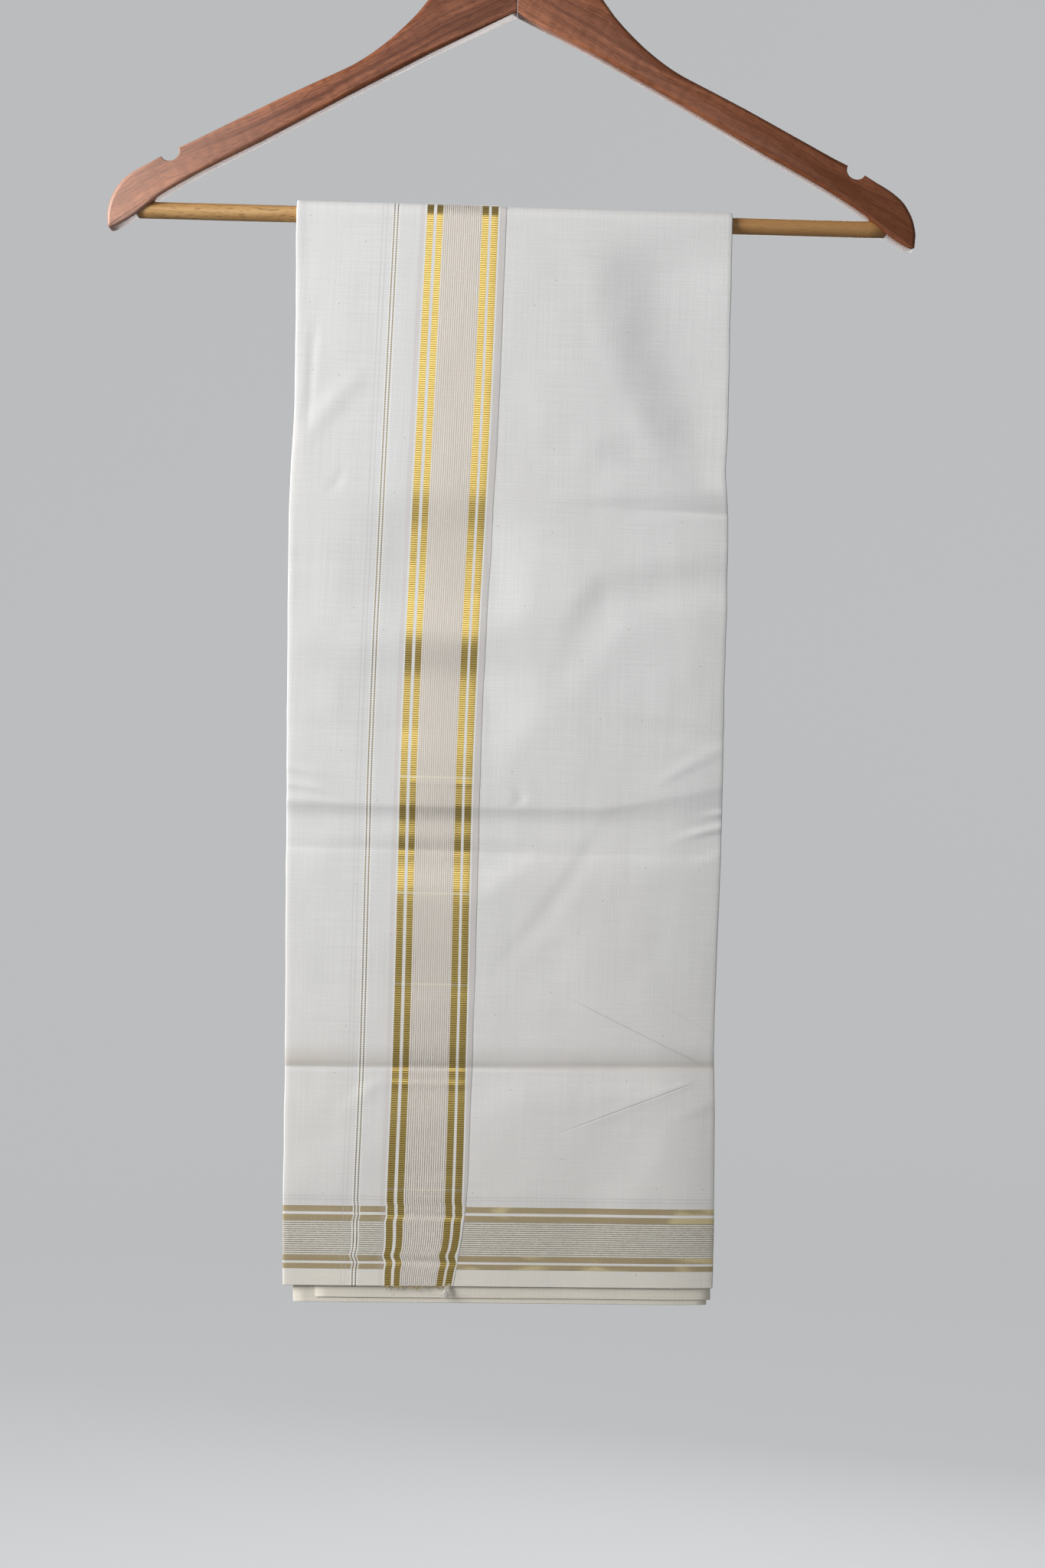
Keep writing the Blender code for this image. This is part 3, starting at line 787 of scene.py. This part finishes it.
# Troughs and, with a minus, ridges: one form, or the forms above and below, then across, drop, depth, and
# width above and below. What a point leaves out is as in the point before.
frontCreases = (
    ("pressed soft", (-140, 584.8, 0.9, 10, 20), (-50, 583.7, 1, 12, 34), (0, 583.2, 1.1, 14, 32),
     (20, 583, 1.1, 14, 20), (150, 581.2)),
    ("pressed", (-140, 584.8, 0.45, 4, 1.6), (-50, 583.7, 0.5), (20, 583, 0.5, 4.5),
     (100, 581.6, 0.6, 4.5, 2), (150, 581.2, 0.7)),
    ("lip soft", (-140, 448, 1.7, 8, 30), (0, 448, 1.6, 8, 32), (60, 448, 1.6, 9, 34),
     (100, 447.5, 1.6, 16, 30), (150, 446, 1.7, 26, 26)),
    ("pressed", (-140, 463.5, 0.5, 7, 3), (-50, 464, 0.4), (40, 465, 0.35, 9, 4), (150, 463, 0.3, 9, 5)),
    ("lip soft", (28, 271.5, 0.1, 3, 20), (48, 272.8, 0.6, 5, 30), (80, 273.9, 1.1, 9, 36),
     (118, 274.7, 1.3, 12, 40), (150, 275.4, 1.4, 14)),
    ("soft", (-140, 286, 0.3, 18, 34), (-88, 287, 0.5, 22, 44), (-54, 290, 1.2, 28, 60), (-6, 290),
     (18, 286, 0.4, 18, 34), (44, 280, 0, 10, 16)),
    ("soft", (-140, 318, 0.3, 34, 18), (-88, 320, 0.6, 44, 22), (-54, 322, 1.6, 60, 24), (-6, 322),
     (18, 320, 0.5, 40, 20), (44, 316, 0, 20, 14)),
    ("soft", (-140, 305, 0.25, 7, 8), (-60, 306), (-40, 306, 0)),
    ("soft", (-140, 366, 0.4, 14, 22), (-88, 368, 0.7, 18, 32), (-54, 370, 1.9, 25, 64), (-6, 370),
     (20, 367, 0.5, 16, 26), (44, 362, 0, 8, 14)),
    ("soft", (-96, 464, 0.1, 8, 8), (-54, 471, 1.5, 18, 20), (-8, 471), (22, 464, 0.1, 8, 8)),
    ("soft", (-140, 397, 0.28, 8, 10), (-50, 398, 0.22), (0, 400, 0)),
    ("soft", (138, 309, 1.2, 16, 18), (90, 315, 1.2, 16, 20), (60, 321, 1, 16, 22), (46, 340, 0.6, 16, 20),
     (34, 371, 0.1, 12, 16)),
    ("soft", (76, 112, 1.6, 50, 42), (86, 150, 2.8, 56, 44), (93, 178, 3.2, 60), (100, 203, 3.2, 60, 40),
     (105, 226, 2.7, 50, 31), (111, 246, 1.3, 40, 24), (115, 262, 0.2, 20, 16)),
    ("soft", (50, 240, 0, 10, 10), (70, 243, 0.9, 15, 14), (90, 249, 1), (108, 256, 0.8, 12, 12),
     (120, 262, 0.3, 10, 10)),
    ("pressed", (50, 272.8, 0.1, 3, 1.8), (80, 273.9, 0.45, 5, 2), (110, 274.5, 1.1, 7, 2.4),
     (150, 275.4, 1.5, 8, 2.8)),
    ("soft", (60, 449, 0.1, 7, 9), (43, 477, 0.3, 7, 10), (25, 503, 0.25, 7, 11), (-4, 538, 0, 6, 9)),
    ("soft", (60, 388, 0, 7, 9), (95, 395, 0.55, 8), (134, 400, 0.6, 9, 8)),
    ("pressed soft", (86, 425, 0, 5, 5), (104, 414, -0.45, 5, 6), (119, 406, -0.4, 4), (128, 402, 0, 4, 5)),
    ("soft", (112, 441.5, 0, 3, 3), (124, 440, -0.7), (140, 439, -0.9, 3.5)),
    ("soft", (96, 456, 0, 4, 4), (116, 450, -0.7, 4, 3.5), (140, 445, -0.9, 4, 3)),
    ("soft", (106, 470, 0, 5, 5), (140, 458, -0.6, 6, 4)),
    ("pressed", (110, 590, -0.25, 3, 4), (86, 598.5, -0.34, 3, 5), (66, 608, -0.28), (44, 618, 0, 3, 4)),
    ("pressed", (132, 597, -0.3, 3, 4), (112, 605.5, -0.28), (92, 615, 0)),
    ("pressed", (40, 542, 0, 3.6, 3.6), (60, 551.5, -0.7), (96, 569), (119, 580, 0, 3, 3)),
    ("soft", (-54, 588, 0, 4, 6), (-68, 597, -0.4, 5, 9), (-86, 615, 0, 4, 8)),
    ("soft", (-40, 622, 0, 18, 18), (-72, 633, -0.3, 20, 24), (-108, 648, -0.35, 20, 26),
     (-130, 656, -0.3)),
    ("soft", (104, 600, 0.1, 16, 14), (78, 620, 0.4, 26, 22), (60, 650, 0.5, 30, 30), (48, 700, 0.3)),
    ("pressed", (-106.5, 172, 0, 3, 3), (-107.6, 186, 0.5), (-109, 230, 0.4), (-109.5, 240, 0)),
    ("soft", (-112, 238, -0.2, 8, 10), (-95, 217, -0.5), (-74, 195, 0, 8, 9)),
    ("soft pressed", (-86, 254, 0, 4, 3), (-92, 263, 0.45), (-99, 271, 0)),
    ("soft", (-124, 419, -0.5, 3.5, 3), (-104, 422, -0.4), (-88, 427, 0, 3)),
    ("soft", (-124, 428, -0.5, 3.5, 3), (-100, 431, -0.4), (-80, 436, 0, 3)),
    ("soft", (-124, 437, -0.5, 3, 3), (-96, 438, -0.3, 3, 2.5), (-76, 439, 0)),
    ("soft", (10, 425, 0, 4, 4), (14, 434, 0.4), (8, 441, 0)),
    ("soft", (-140, 660, 0.25, 6, 5), (150, 661)),
    ("pressed soft", (-64, 592, 0, 2.5, 3), (-50, 592.5, -0.22), (-14, 592.5, -0.24), (-6, 592, 0)),
    ("soft", (-64, 664.5, 0, 3, 3), (-52, 664.5, 0.3), (-14, 665, 0.34), (-8, 665, 0)),
    ("soft", (-64, 689.5, 0, 3, 3), (-52, 689.5, 0.3), (-16, 690.5, 0.34), (-10, 691, 0)),
    ("soft", (-62, 640.5, 0, 2.5, 2.5), (-50, 641, 0.16), (-14, 641, 0.18), (-8, 641, 0)),
    ("pressed", (-56, 539, 0, 2.2, 2.2), (-46, 539.5, 0.16), (-14, 540), (-8, 540, 0)),
    ("pressed", (-54, 426, 0, 2.2, 2.2), (-44, 426.5, -0.2), (-14, 427), (-8, 427, 0)),
    ("pressed", (-54, 488, 0, 2.4, 2.4), (-44, 488.5, 0.22), (-14, 489), (-8, 489, 0)),
    ("soft", (-140, 540, 0.25, 22, 18), (-40, 536, 0.35, 26, 20), (30, 530, 0.2, 22)),
)
backCreases = (
    ("pressed", (-140, 583.5, 1.5, 14, 10), (150, 583.5, 1.4, 12, 9)),
    ("lip soft", (-140, 448, 1.4, 9, 30), (150, 448, 1.4, 11, 26)),
    ("pressed soft", (30, 275.5, 0.4, 6, 12), (80, 276, 1, 8, 14), (150, 276, 1.1, 8, 16)),
    ("soft", (-140, 266, 0.4, 10, 12), (30, 267, 0.3)),
    ("soft", (-22, 150, 0.4, 18, 18), (-40, 205, 1.2), (-58, 262, 0.3, 14)),
    ("soft", (20, 305, 0.3, 16, 18), (50, 342, 1, 18), (78, 380, 0.2, 16)),
    ("soft", (10, 600, 0.2, 12, 15), (-24, 620, 0.9, 15), (-58, 640, 0.2, 13)),
    ("soft", (70, 480, 0.2, 6, 8), (40, 510, 0.5, 6, 9), (10, 548, 0, 6, 8)),
    ("soft pressed", (-30, 590, 0, 4, 6), (-62, 600, -0.5, 5, 8), (-90, 612, 0)),
)
clothWaves = ((0.26, 0.021, 0.015, 3, 17), (0.13, 0.06, 0.045, 8, 29), (0.035, 0.15, 0.11, 14, 41))
deepestCrease = 3.7
highestRidge = -1.3


def prepareCreases(creases):
    prepared = []
    for forms, *given in creases:
        above, below = (forms.split() * 2)[:2]
        points = []
        for point in given:
            points.append(point + points[-1][len(point):] if points else point)
        reach = max(max(point[3], point[4]) for point in points)
        box = (
            min(point[0] for point in points) - reach, max(point[0] for point in points) + reach,
            min(point[1] for point in points) - reach, max(point[1] for point in points) + reach,
        )
        prepared.append((sideForms[above], sideForms[below], points, box))
    return prepared


readyCreases = {"front": prepareCreases(frontCreases), "back": prepareCreases(backCreases)}


def creaseDepth(side, across, drop):
    depth = 0
    for above, below, points, box in readyCreases[side]:
        if not (box[0] < across < box[1] and box[2] < drop < box[3]):
            continue
        nearest = None
        for start, end in zip(points, points[1:]):
            runX, runD = end[0] - start[0], end[1] - start[1]
            relX, relD = across - start[0], drop - start[1]
            share = min(1, max(0, (relX * runX + relD * runD) / (runX * runX + runD * runD)))
            offX, offD = relX - runX * share, relD - runD * share
            away = math.hypot(offX, offD)
            if nearest is None or away < nearest[0]:
                lower = offD > 0 if abs(runX) > abs(runD) * 0.35 else offX * (1 if runD < 0 else -1) > 0
                nearest = (away, share, start, end, lower)
        away, share, start, end, lower = nearest
        values = [start[n] + (end[n] - start[n]) * share for n in (2, 3, 4)]
        width = values[2] if lower else values[1]
        if away < width:
            depth += values[0] * (below if lower else above)(away / width)
    for height, factorX, factorD, front, back in clothWaves:
        depth += height * waver(across * factorX, drop * factorD, front if side == "front" else back)
    depth = min(deepestCrease, max(highestRidge, depth))
    return depth * easeBetween(116, 142, drop)


rollShape = {
    "width": 30, "depth": 0.7, "moreWidth": 22, "moreDepth": 1.1, "leftWidth": 9, "leftDepth": 0.5,
    "starts": (125, 180), "grows": (400, 520), "narrows": (575, 590),  # drops
}


def edgeRoll(across, drop):
    # The right edge turns back a little, most in the lower half, and the left edge hardly
    shape = rollShape
    left, right = readTable(outerEdges, drop, 1), readTable(outerEdges, drop, 2)
    below = easeBetween(*shape["grows"], drop)
    wide = shape["width"] + shape["moreWidth"] * below * (1 - easeBetween(*shape["narrows"], drop))
    roll = (shape["depth"] + shape["moreDepth"] * below) * max(0, 1 - (right - across) / wide) ** 1.9
    leftRoll = shape["leftDepth"] * max(0, 1 - (across - left) / shape["leftWidth"]) ** 2
    return (roll + leftRoll) * easeBetween(*shape["starts"], drop)


def foldsThickness(drop):
    shape = clothShape
    return shape["foldsAtBar"] + (shape["foldsBelow"] - shape["foldsAtBar"]) * easeBetween(120, 330, drop)


def stationDrop(station):
    return barShape["drop"] if station[0] == "over" else station[1]


def layCloth(station, across, out):
    # Puts a point of the cloth in its place; out is measured from the bar's surface
    where, value = station
    radius = barShape["radius"] + clothShape["overBar"] + out
    if where == "over":
        level = heightAt(barShape["drop"]) + radius * math.sin(value)
        return Vector((across, -radius * math.cos(value), level))
    drop = value
    share = 0.5 + 0.5 * min(1, max(0, out / foldsThickness(drop)))
    depth = (creaseDepth(where, across, drop) + edgeRoll(across, drop)) * share
    lower = max(0, (drop - clothShape["slantFrom"]) / (clothShape["frontBottom"] - clothShape["slantFrom"]))
    slant = -clothShape["hemSlant"] * (across - clothShape["middle"]) * lower ** 1.3
    side = -1 if where == "front" else 1
    return Vector((across, side * (radius - depth), heightAt(drop + slant)))


def alongCloth(station):
    # Distance along the cloth, up from its cut end at the front
    where, value = station
    front = clothShape["frontBottom"]
    top = barShape["drop"]
    if where == "front":
        return front - value
    arc = (barShape["radius"] + 3) * math.pi
    if where == "over":
        return front - top + arc * value / math.pi
    return front - top + arc + value - top


closeRows = ((270, 296), (418, 470), (572, 596), (655, 720))  # drops with half the row step


def clothStations(frontEnd, backEnd, rowStep, backRowStep):
    top = barShape["drop"]
    rows = [frontEnd, frontEnd - 0.1, frontEnd - 0.35, frontEnd - 0.8]
    drop = rows[-1]
    while drop > top + rowStep * 0.6:
        fine = any(low < drop <= high for low, high in closeRows)
        drop -= rowStep * (0.5 if fine else 1)
        rows.append(max(drop, top))
    if rows[-1] > top:
        rows.append(top)
    stations = [("front", drop) for drop in rows]
    for turn in range(1, 14):
        stations.append(("over", math.pi * turn / 14))
    count = int((backEnd - top) / backRowStep)
    stations += [("back", top + (backEnd - top) * row / count) for row in range(count + 1)]
    return stations


def shellOf(grid, patterns, thickness, flip):
    # A closed thin shell round a grid of points: two faces, and a rounded rim
    rows, columns = len(grid), len(grid[0])
    sides = ([], [])
    for row in range(rows):
        for column in range(columns):
            runA = grid[row][min(column + 1, columns - 1)] - grid[row][max(column - 1, 0)]
            runB = grid[min(row + 1, rows - 1)][column] - grid[max(row - 1, 0)][column]
            out = runA.cross(runB).normalized() * (thickness(row, column) / 2 * flip)
            sides[0].append(grid[row][column] + out)
            sides[1].append(grid[row][column] - out)
    corners = sides[0] + sides[1]
    places = [pattern for line in patterns for pattern in line] * 2
    count = rows * columns
    faces = []
    for row in range(rows - 1):
        for column in range(columns - 1):
            corner = row * columns + column
            face = (corner, corner + 1, corner + columns + 1, corner + columns)
            faces.append(face)
            faces.append((face[0] + count, face[3] + count, face[2] + count, face[1] + count))
    rim = [(0, column) for column in range(columns - 1)]
    rim += [(row, columns - 1) for row in range(rows - 1)]
    rim += [(rows - 1, column) for column in range(columns - 1, 0, -1)]
    rim += [(row, 0) for row in range(rows - 1, 0, -1)]
    first = len(corners)
    for row, column in rim:
        outward = Vector((0, 0, 0))
        if row in (0, rows - 1):
            outward += (grid[row][column] - grid[1 if row == 0 else rows - 2][column]).normalized()
        if column in (0, columns - 1):
            outward += (grid[row][column] - grid[row][1 if column == 0 else columns - 2]).normalized()
        corners.append(grid[row][column] + outward.normalized() * thickness(row, column) * 0.45)
        places.append(patterns[row][column])
    for index, (row, column) in enumerate(rim):
        after = (index + 1) % len(rim)
        here = row * columns + column
        there = rim[after][0] * columns + rim[after][1]
        faces.append((here, there, first + after, first + index))
        faces.append((first + index, first + after, count + there, count + here))
    return corners, places, faces


def borderPlace(across, edges):
    # Distance from the border's right edge, stretched so that the border fills its two edges
    left, right = edges
    if across > right:
        return right - across
    if across > left:
        return (right - across) / (right - left) * borderWidth
    return borderWidth + left - across


def crossingShift(along):
    # Where the weft gold passes, the warps run in small S-curves
    shift = 0
    for level, amount, width in sCurves:
        away = (along - level) / width
        shift += amount * math.exp(-away * away)
    return shift


def laySheet(stations, rowAt):
    # rowAt gives each column of a station: across, out from the bar's surface, and the pattern's across
    grid, patterns = [], []
    for station in stations:
        row = rowAt(station)
        along = alongCloth(station)
        grid.append([layCloth(station, across, out) for across, out, _ in row])
        patterns.append([(place, along) for _, _, place in row])
    return grid, patterns


def makeSheet(name, material, rowAt, thickness, flip):
    ends, steps = ("frontBottom", "backBottom"), ("rowStep", "backRowStep")
    stations = clothStations(*[clothShape[name] for name in ends + steps])
    corners, places, faces = shellOf(*laySheet(stations, rowAt), thickness, flip)
    return meshPiece(name, corners, faces, material, places)


def turnedEdge(centre, side, low, high, fold, parts):
    # Half a turn down from the upper layer to the lower one, to the left or the right
    row, radius = [], (high - low) / 2
    for part in range(1, parts + 1):
        turn = math.pi * part / parts
        across = centre + side * radius * math.sin(turn)
        row.append((across, (low + high) / 2 + radius * math.cos(turn), fold + radius * turn))
    return row


def turnedUnder(centre, width, low, fold):
    return [(centre + width * part / 3, low, fold + abs(width) * part / 3) for part in range(1, 4)]


def flapRow(station):
    shape = clothShape
    drop = stationDrop(station)
    columns = shape["flapColumns"]
    folds = foldsThickness(drop)
    left = readTable(outerEdges, drop, 1) + 0.25 * waver(1, drop * 0.05, 6)
    selvedge = readTable(outerEdges, drop, 3)
    selvedge += 0.35 * waver(5, drop * 0.035, 2) + 0.12 * waver(9, drop * 0.22, 2)
    edges = readTable(borderEdges, drop, 1), readTable(borderEdges, drop, 2)
    low = folds + shape["panelLift"] - shape["underFlap"]
    high = folds + shape["flapLift"] + shape["foldPuff"]
    radius = (high - low) / 2
    centre = left + shape["clothThickness"] / 2 + radius
    width = selvedge - centre
    shift = crossingShift(alongCloth(station)) if station[0] == "front" else 0
    shares = [offset / width for offset in shape["selvedgeColumns"]]
    shares += [shares[-1] + (1 - shares[-1]) * part / columns for part in range(1, columns + 1)]
    row = []
    for share in shares:
        across = selvedge - width * share
        lift = shape["flapLift"] + shape["foldPuff"] * math.exp(-((across - centre) / 3.6) ** 2)
        lift -= (shape["flapLift"] - shape["selvedgeLift"]) * (1 - easeBetween(0, 7, selvedge - across))
        row.append((across, folds + lift, borderPlace(across, edges) + shift))
    fold = borderPlace(centre, edges)
    row += turnedEdge(centre, -1, low, high, fold, 8)
    return row + turnedUnder(centre, left + shape["returnWidth"] - centre, low, fold + radius * math.pi)


def panelRow(station):
    shape = clothShape
    drop = stationDrop(station)
    hidden, shown = shape["panelColumns"]
    folds = foldsThickness(drop)
    right = readTable(outerEdges, drop, 2) + 0.3 * waver(3, drop * 0.05, 9)
    selvedge = readTable(outerEdges, drop, 3)
    low, high = folds + shape["rightReturnLift"], folds + shape["panelLift"]
    radius = (high - low) / 2
    centre = right - shape["clothThickness"] / 2 - radius
    start = readTable(outerEdges, drop, 1) + shape["returnWidth"] + 0.2
    under = selvedge - shape["overlap"]
    row = []
    for part in range(hidden + shown + 1):
        if part < hidden:
            across = start + (under - start) * part / hidden
        else:
            across = under + (centre - under) * (part - hidden) / shown
        sink = shape["underFlap"] * (1 - easeBetween(selvedge - 9, selvedge - 2, across))
        row.append((across, high - sink, across + shape["panelPattern"]))
    fold = centre + shape["panelPattern"]
    row += turnedEdge(centre, 1, low, high, fold, 6)
    return row + turnedUnder(centre, -shape["rightReturn"], low, fold + radius * math.pi)


foldShape = {
    "columns": 36,
    "rowStep": 5,
    "backRowStep": 8,
    "thicknessAtBar": 0.22,
    "thicknessBelow": 0.42,
    "pattern": 300,
    "patternStep": 260,
}
foldLayers = (
    # share of the way out from the bar, front bottom, back bottom, and drop, left, right of its edges
    (1, 710.2, 709, ((105, -117.4, 121), (252, -116, 121.4), (382, -113.6, 123.6), (500, -107.6, 124),
     (600, -101, 124), (712, -91.6, 125.8))),
    (0.7, 713, 711, ((105, -117.4, 121), (252, -116.6, 121.2), (382, -114.8, 122.2), (500, -111.4, 122.8),
     (600, -108, 123.2), (712, -104.2, 123.7))),
    (0.38, 711.4, 710.2, ((105, -117, 120.6), (252, -116.2, 120.6), (382, -114, 121.4),
     (500, -110.2, 121.8), (600, -106.4, 122), (712, -102, 122.4))),
    (0.06, 712.2, 710.8, ((105, -117.2, 120.2), (252, -116, 120), (382, -113.6, 120.6), (500, -109.6, 121),
     (600, -105.6, 121.2), (712, -101, 121.4))),
)


def foldWall(drop):
    thin, full = foldShape["thicknessAtBar"], foldShape["thicknessBelow"]
    return thin + (full - thin) * easeBetween(120, 330, drop)


def foldRow(station, index, share, edges):
    drop = stationDrop(station)
    left = readTable(edges, drop, 1) + 0.3 * waver(index * 3, drop * 0.05, 1)
    right = readTable(edges, drop, 2) + 0.3 * waver(index * 3, drop * 0.05, 5)
    out = foldWall(drop) / 2 + (foldsThickness(drop) - foldWall(drop)) * share
    columns, pattern = foldShape["columns"], foldShape["pattern"] + foldShape["patternStep"] * index
    spots = [left + (right - left) * part / columns for part in range(columns + 1)]
    return [(across, out, across + pattern) for across in spots]


def makeFolds():
    corners, faces, places = [], [], []
    for index, (share, frontEnd, backEnd, edges) in enumerate(foldLayers):
        stations = clothStations(frontEnd, backEnd, foldShape["rowStep"], foldShape["backRowStep"])
        walls = [foldWall(stationDrop(station)) for station in stations]
        grid, patterns = laySheet(stations, lambda station: foldRow(station, index, share, edges))
        newCorners, newPlaces, newFaces = shellOf(grid, patterns, lambda row, column: walls[row], -1)
        first = len(corners)
        corners += newCorners
        places += newPlaces
        faces += [tuple(first + corner for corner in face) for face in newFaces]
    return meshPiece("dhotiFolds", corners, faces, foldedCotton, places)


def flapThickness(row, column):
    thin, full = clothShape["selvedgeThickness"], clothShape["clothThickness"]
    return thin + (full - thin) * min(1, column / 6)


def panelThickness(row, column):
    return clothShape["clothThickness"]


dhotiFlap = makeSheet("dhotiFlap", borderedCotton, flapRow, flapThickness, 1)
print("flap with the border made", len(dhotiFlap.data.polygons))
dhotiPanel = makeSheet("dhotiPanel", bandedCotton, panelRow, panelThickness, -1)
print("panel made", len(dhotiPanel.data.polygons))
dhotiFolds = makeFolds()
print("folds made", len(dhotiFolds.data.polygons))


# Loose threads

threadShape = {  # how many, length, radius, the shortest's share, lean, wave, seed
    "borderEnds": (96, 2.8, 0.08, 0.2, 0.5, 0.9, 3),
    "looseTuft": (18, 9, 0.11, 0.55, 0.55, 2.6, 5),
    "hemEnds": (60, 1.3, 0.06, 0.2, 0.8, 0.5, 9),
}
tuftAt = -18.6  # at the flap's lower right corner


def hemPlace(across, up, flapEnd):
    lift = clothShape["flapLift"] if across < flapEnd else clothShape["panelLift"]
    return tuple(layCloth(("front", clothShape["frontBottom"] - up), across, foldsThickness(700) + lift))


def makeStrands(name, tree, material, up, low, high, centre=0, flapEnd=0):
    count, length, radius, shortest, lean, wave, seed = threadShape[name]
    places = [hemPlace(centre + random.uniform(low, high), up, flapEnd) for _ in range(count)]
    return bakeNodes(pointPiece(name, places, False), tree, {
        "Strand Length": length * mm, "Strand Radius": radius * mm, "Shortest": shortest,
        "Lean": lean, "Wave": wave * mm, "Seed": seed, "Material": material,
    })


random.seed(11)
strands = strandTree()
borderEnds = makeStrands("borderEnds", strands, goldThread, 0.4, -55.5, -18)
looseTuft = makeStrands("looseTuft", strands, whiteThread, 1, -1.2, 1.2, tuftAt)
hemEnds = makeStrands("hemEnds", strands, whiteThread, 0.3, -108, 124, flapEnd=-18)
print("threads made")


# Camera, lights and stage

studio = {
    "camera": (0.0146, -1.4565, -0.5292), "roll": -1.57, "lens": 60.3,
    "target": (0, 0, -0.5), "world": 0.19, "air": (0.97, 0.985, 1),
    "lights": (  # place, size, power, colour
        ("keyLight", (-1.55, -0.7, 0.02), 1, 46.5, (1, 0.995, 0.985)),
        ("fillLight", (-0.25, -2.45, 0.2), 1.15, 5.9, (0.97, 0.985, 1)),
        ("rearLight", (0.35, 1.3, -0.12), 1.4, 15, (1, 1, 1)),
    ),
    "paper": ((0.24, 0.24, 0.245), (0.26, 0.26, 0.26)), "paperGlow": 0.44,
    "floor": -1.3, "bend": 1.4, "wallRadius": 4.4, "wallTop": 3.6, "sides": 96,
}


def makeStage():
    material, tree, shader = newMaterial("palePaper")
    grain = cloudy(objectPlace(tree), 1.2, 2, 0.5)
    setInputs(shader, {
        "Base Color": mixColour(grain, *studio["paper"]), "Emission Color": studio["air"],
        "Emission Strength": studio["paperGlow"], "Roughness": 0.9, "Specular IOR Level": 0.1,
    })
    low, bend, reach, sides = studio["floor"], studio["bend"], studio["wallRadius"], studio["sides"]
    profile = [((reach - bend) * part / 6, low) for part in range(1, 7)]
    for part in range(1, 13):
        angle = math.pi / 2 * part / 12
        profile.append((reach - bend + bend * math.sin(angle), low + bend - bend * math.cos(angle)))
    profile.append((reach, studio["wallTop"]))
    corners = [(0, 0, low)]
    for radius, level in profile:
        for side in range(sides):
            angle = 2 * math.pi * side / sides
            corners.append((radius * math.cos(angle), radius * math.sin(angle), level))
    faces = [(0, 1 + (side + 1) % sides, 1 + side) for side in range(sides)]
    mesh = bpy.data.meshes.new("studioFloor")
    mesh.from_pydata(corners, [], faces + tubeFaces(len(profile), sides, 1))
    mesh.polygons.foreach_set("use_smooth", [True] * len(mesh.polygons))
    mesh.materials.append(material)
    floor = linkPiece("studioFloor", mesh)
    floor.visible_diffuse = False
    floor.visible_shadow = False
    floor.visible_glossy = False


def makeLight(name, place, size, power, colour):
    data = bpy.data.lights.new(name, "AREA")
    data.shape = "DISK"
    data.size = size
    data.energy = power
    data.color = colour
    light = linkPiece(name, data)
    light.location = place
    light.rotation_euler = (Vector(studio["target"]) - Vector(place)).to_track_quat("-Z", "Y").to_euler()
    light.visible_camera = False


def makeStudio():
    makeStage()
    for values in studio["lights"]:
        makeLight(*values)
    scene = bpy.context.scene
    scene.world = bpy.data.worlds.new("paleRoom")
    scene.world.use_nodes = True
    background = scene.world.node_tree.nodes["Background"]
    setInputs(background, {"Color": studio["air"], "Strength": studio["world"]})
    scene.view_settings.view_transform = "Standard"
    data = bpy.data.cameras.new("camera")
    data.lens = studio["lens"]
    data.sensor_width = 36
    camera = linkPiece("camera", data)
    camera.location = studio["camera"]
    camera.rotation_euler = (math.radians(90), math.radians(studio["roll"]), 0)
    scene.camera = camera


makeStudio()
print("studio made")


# What each piece stands for

for piece, nodes, slot in (
    (leftArm, ("hanger_arm_left",), "varnished_wood"),
    (rightArm, ("hanger_arm_right",), "varnished_wood"),
    (trouserBar, ("hanger_bar",), "pale_wood"),
    (wireHook, ("hanger_hook",), "hook_steel"),
    (dhotiFlap, ("border_flap",), "bordered_cotton"),
    (dhotiPanel, ("front_panel",), "cotton"),
    (dhotiFolds, ("inner_folds",), "folded_cotton"),
    (borderEnds, (), "bordered_cotton"),
    (looseTuft, (), "bordered_cotton"),
    (hemEnds, (), "cotton"),
):
    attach(piece, "root")
    if nodes:
        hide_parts(*nodes)
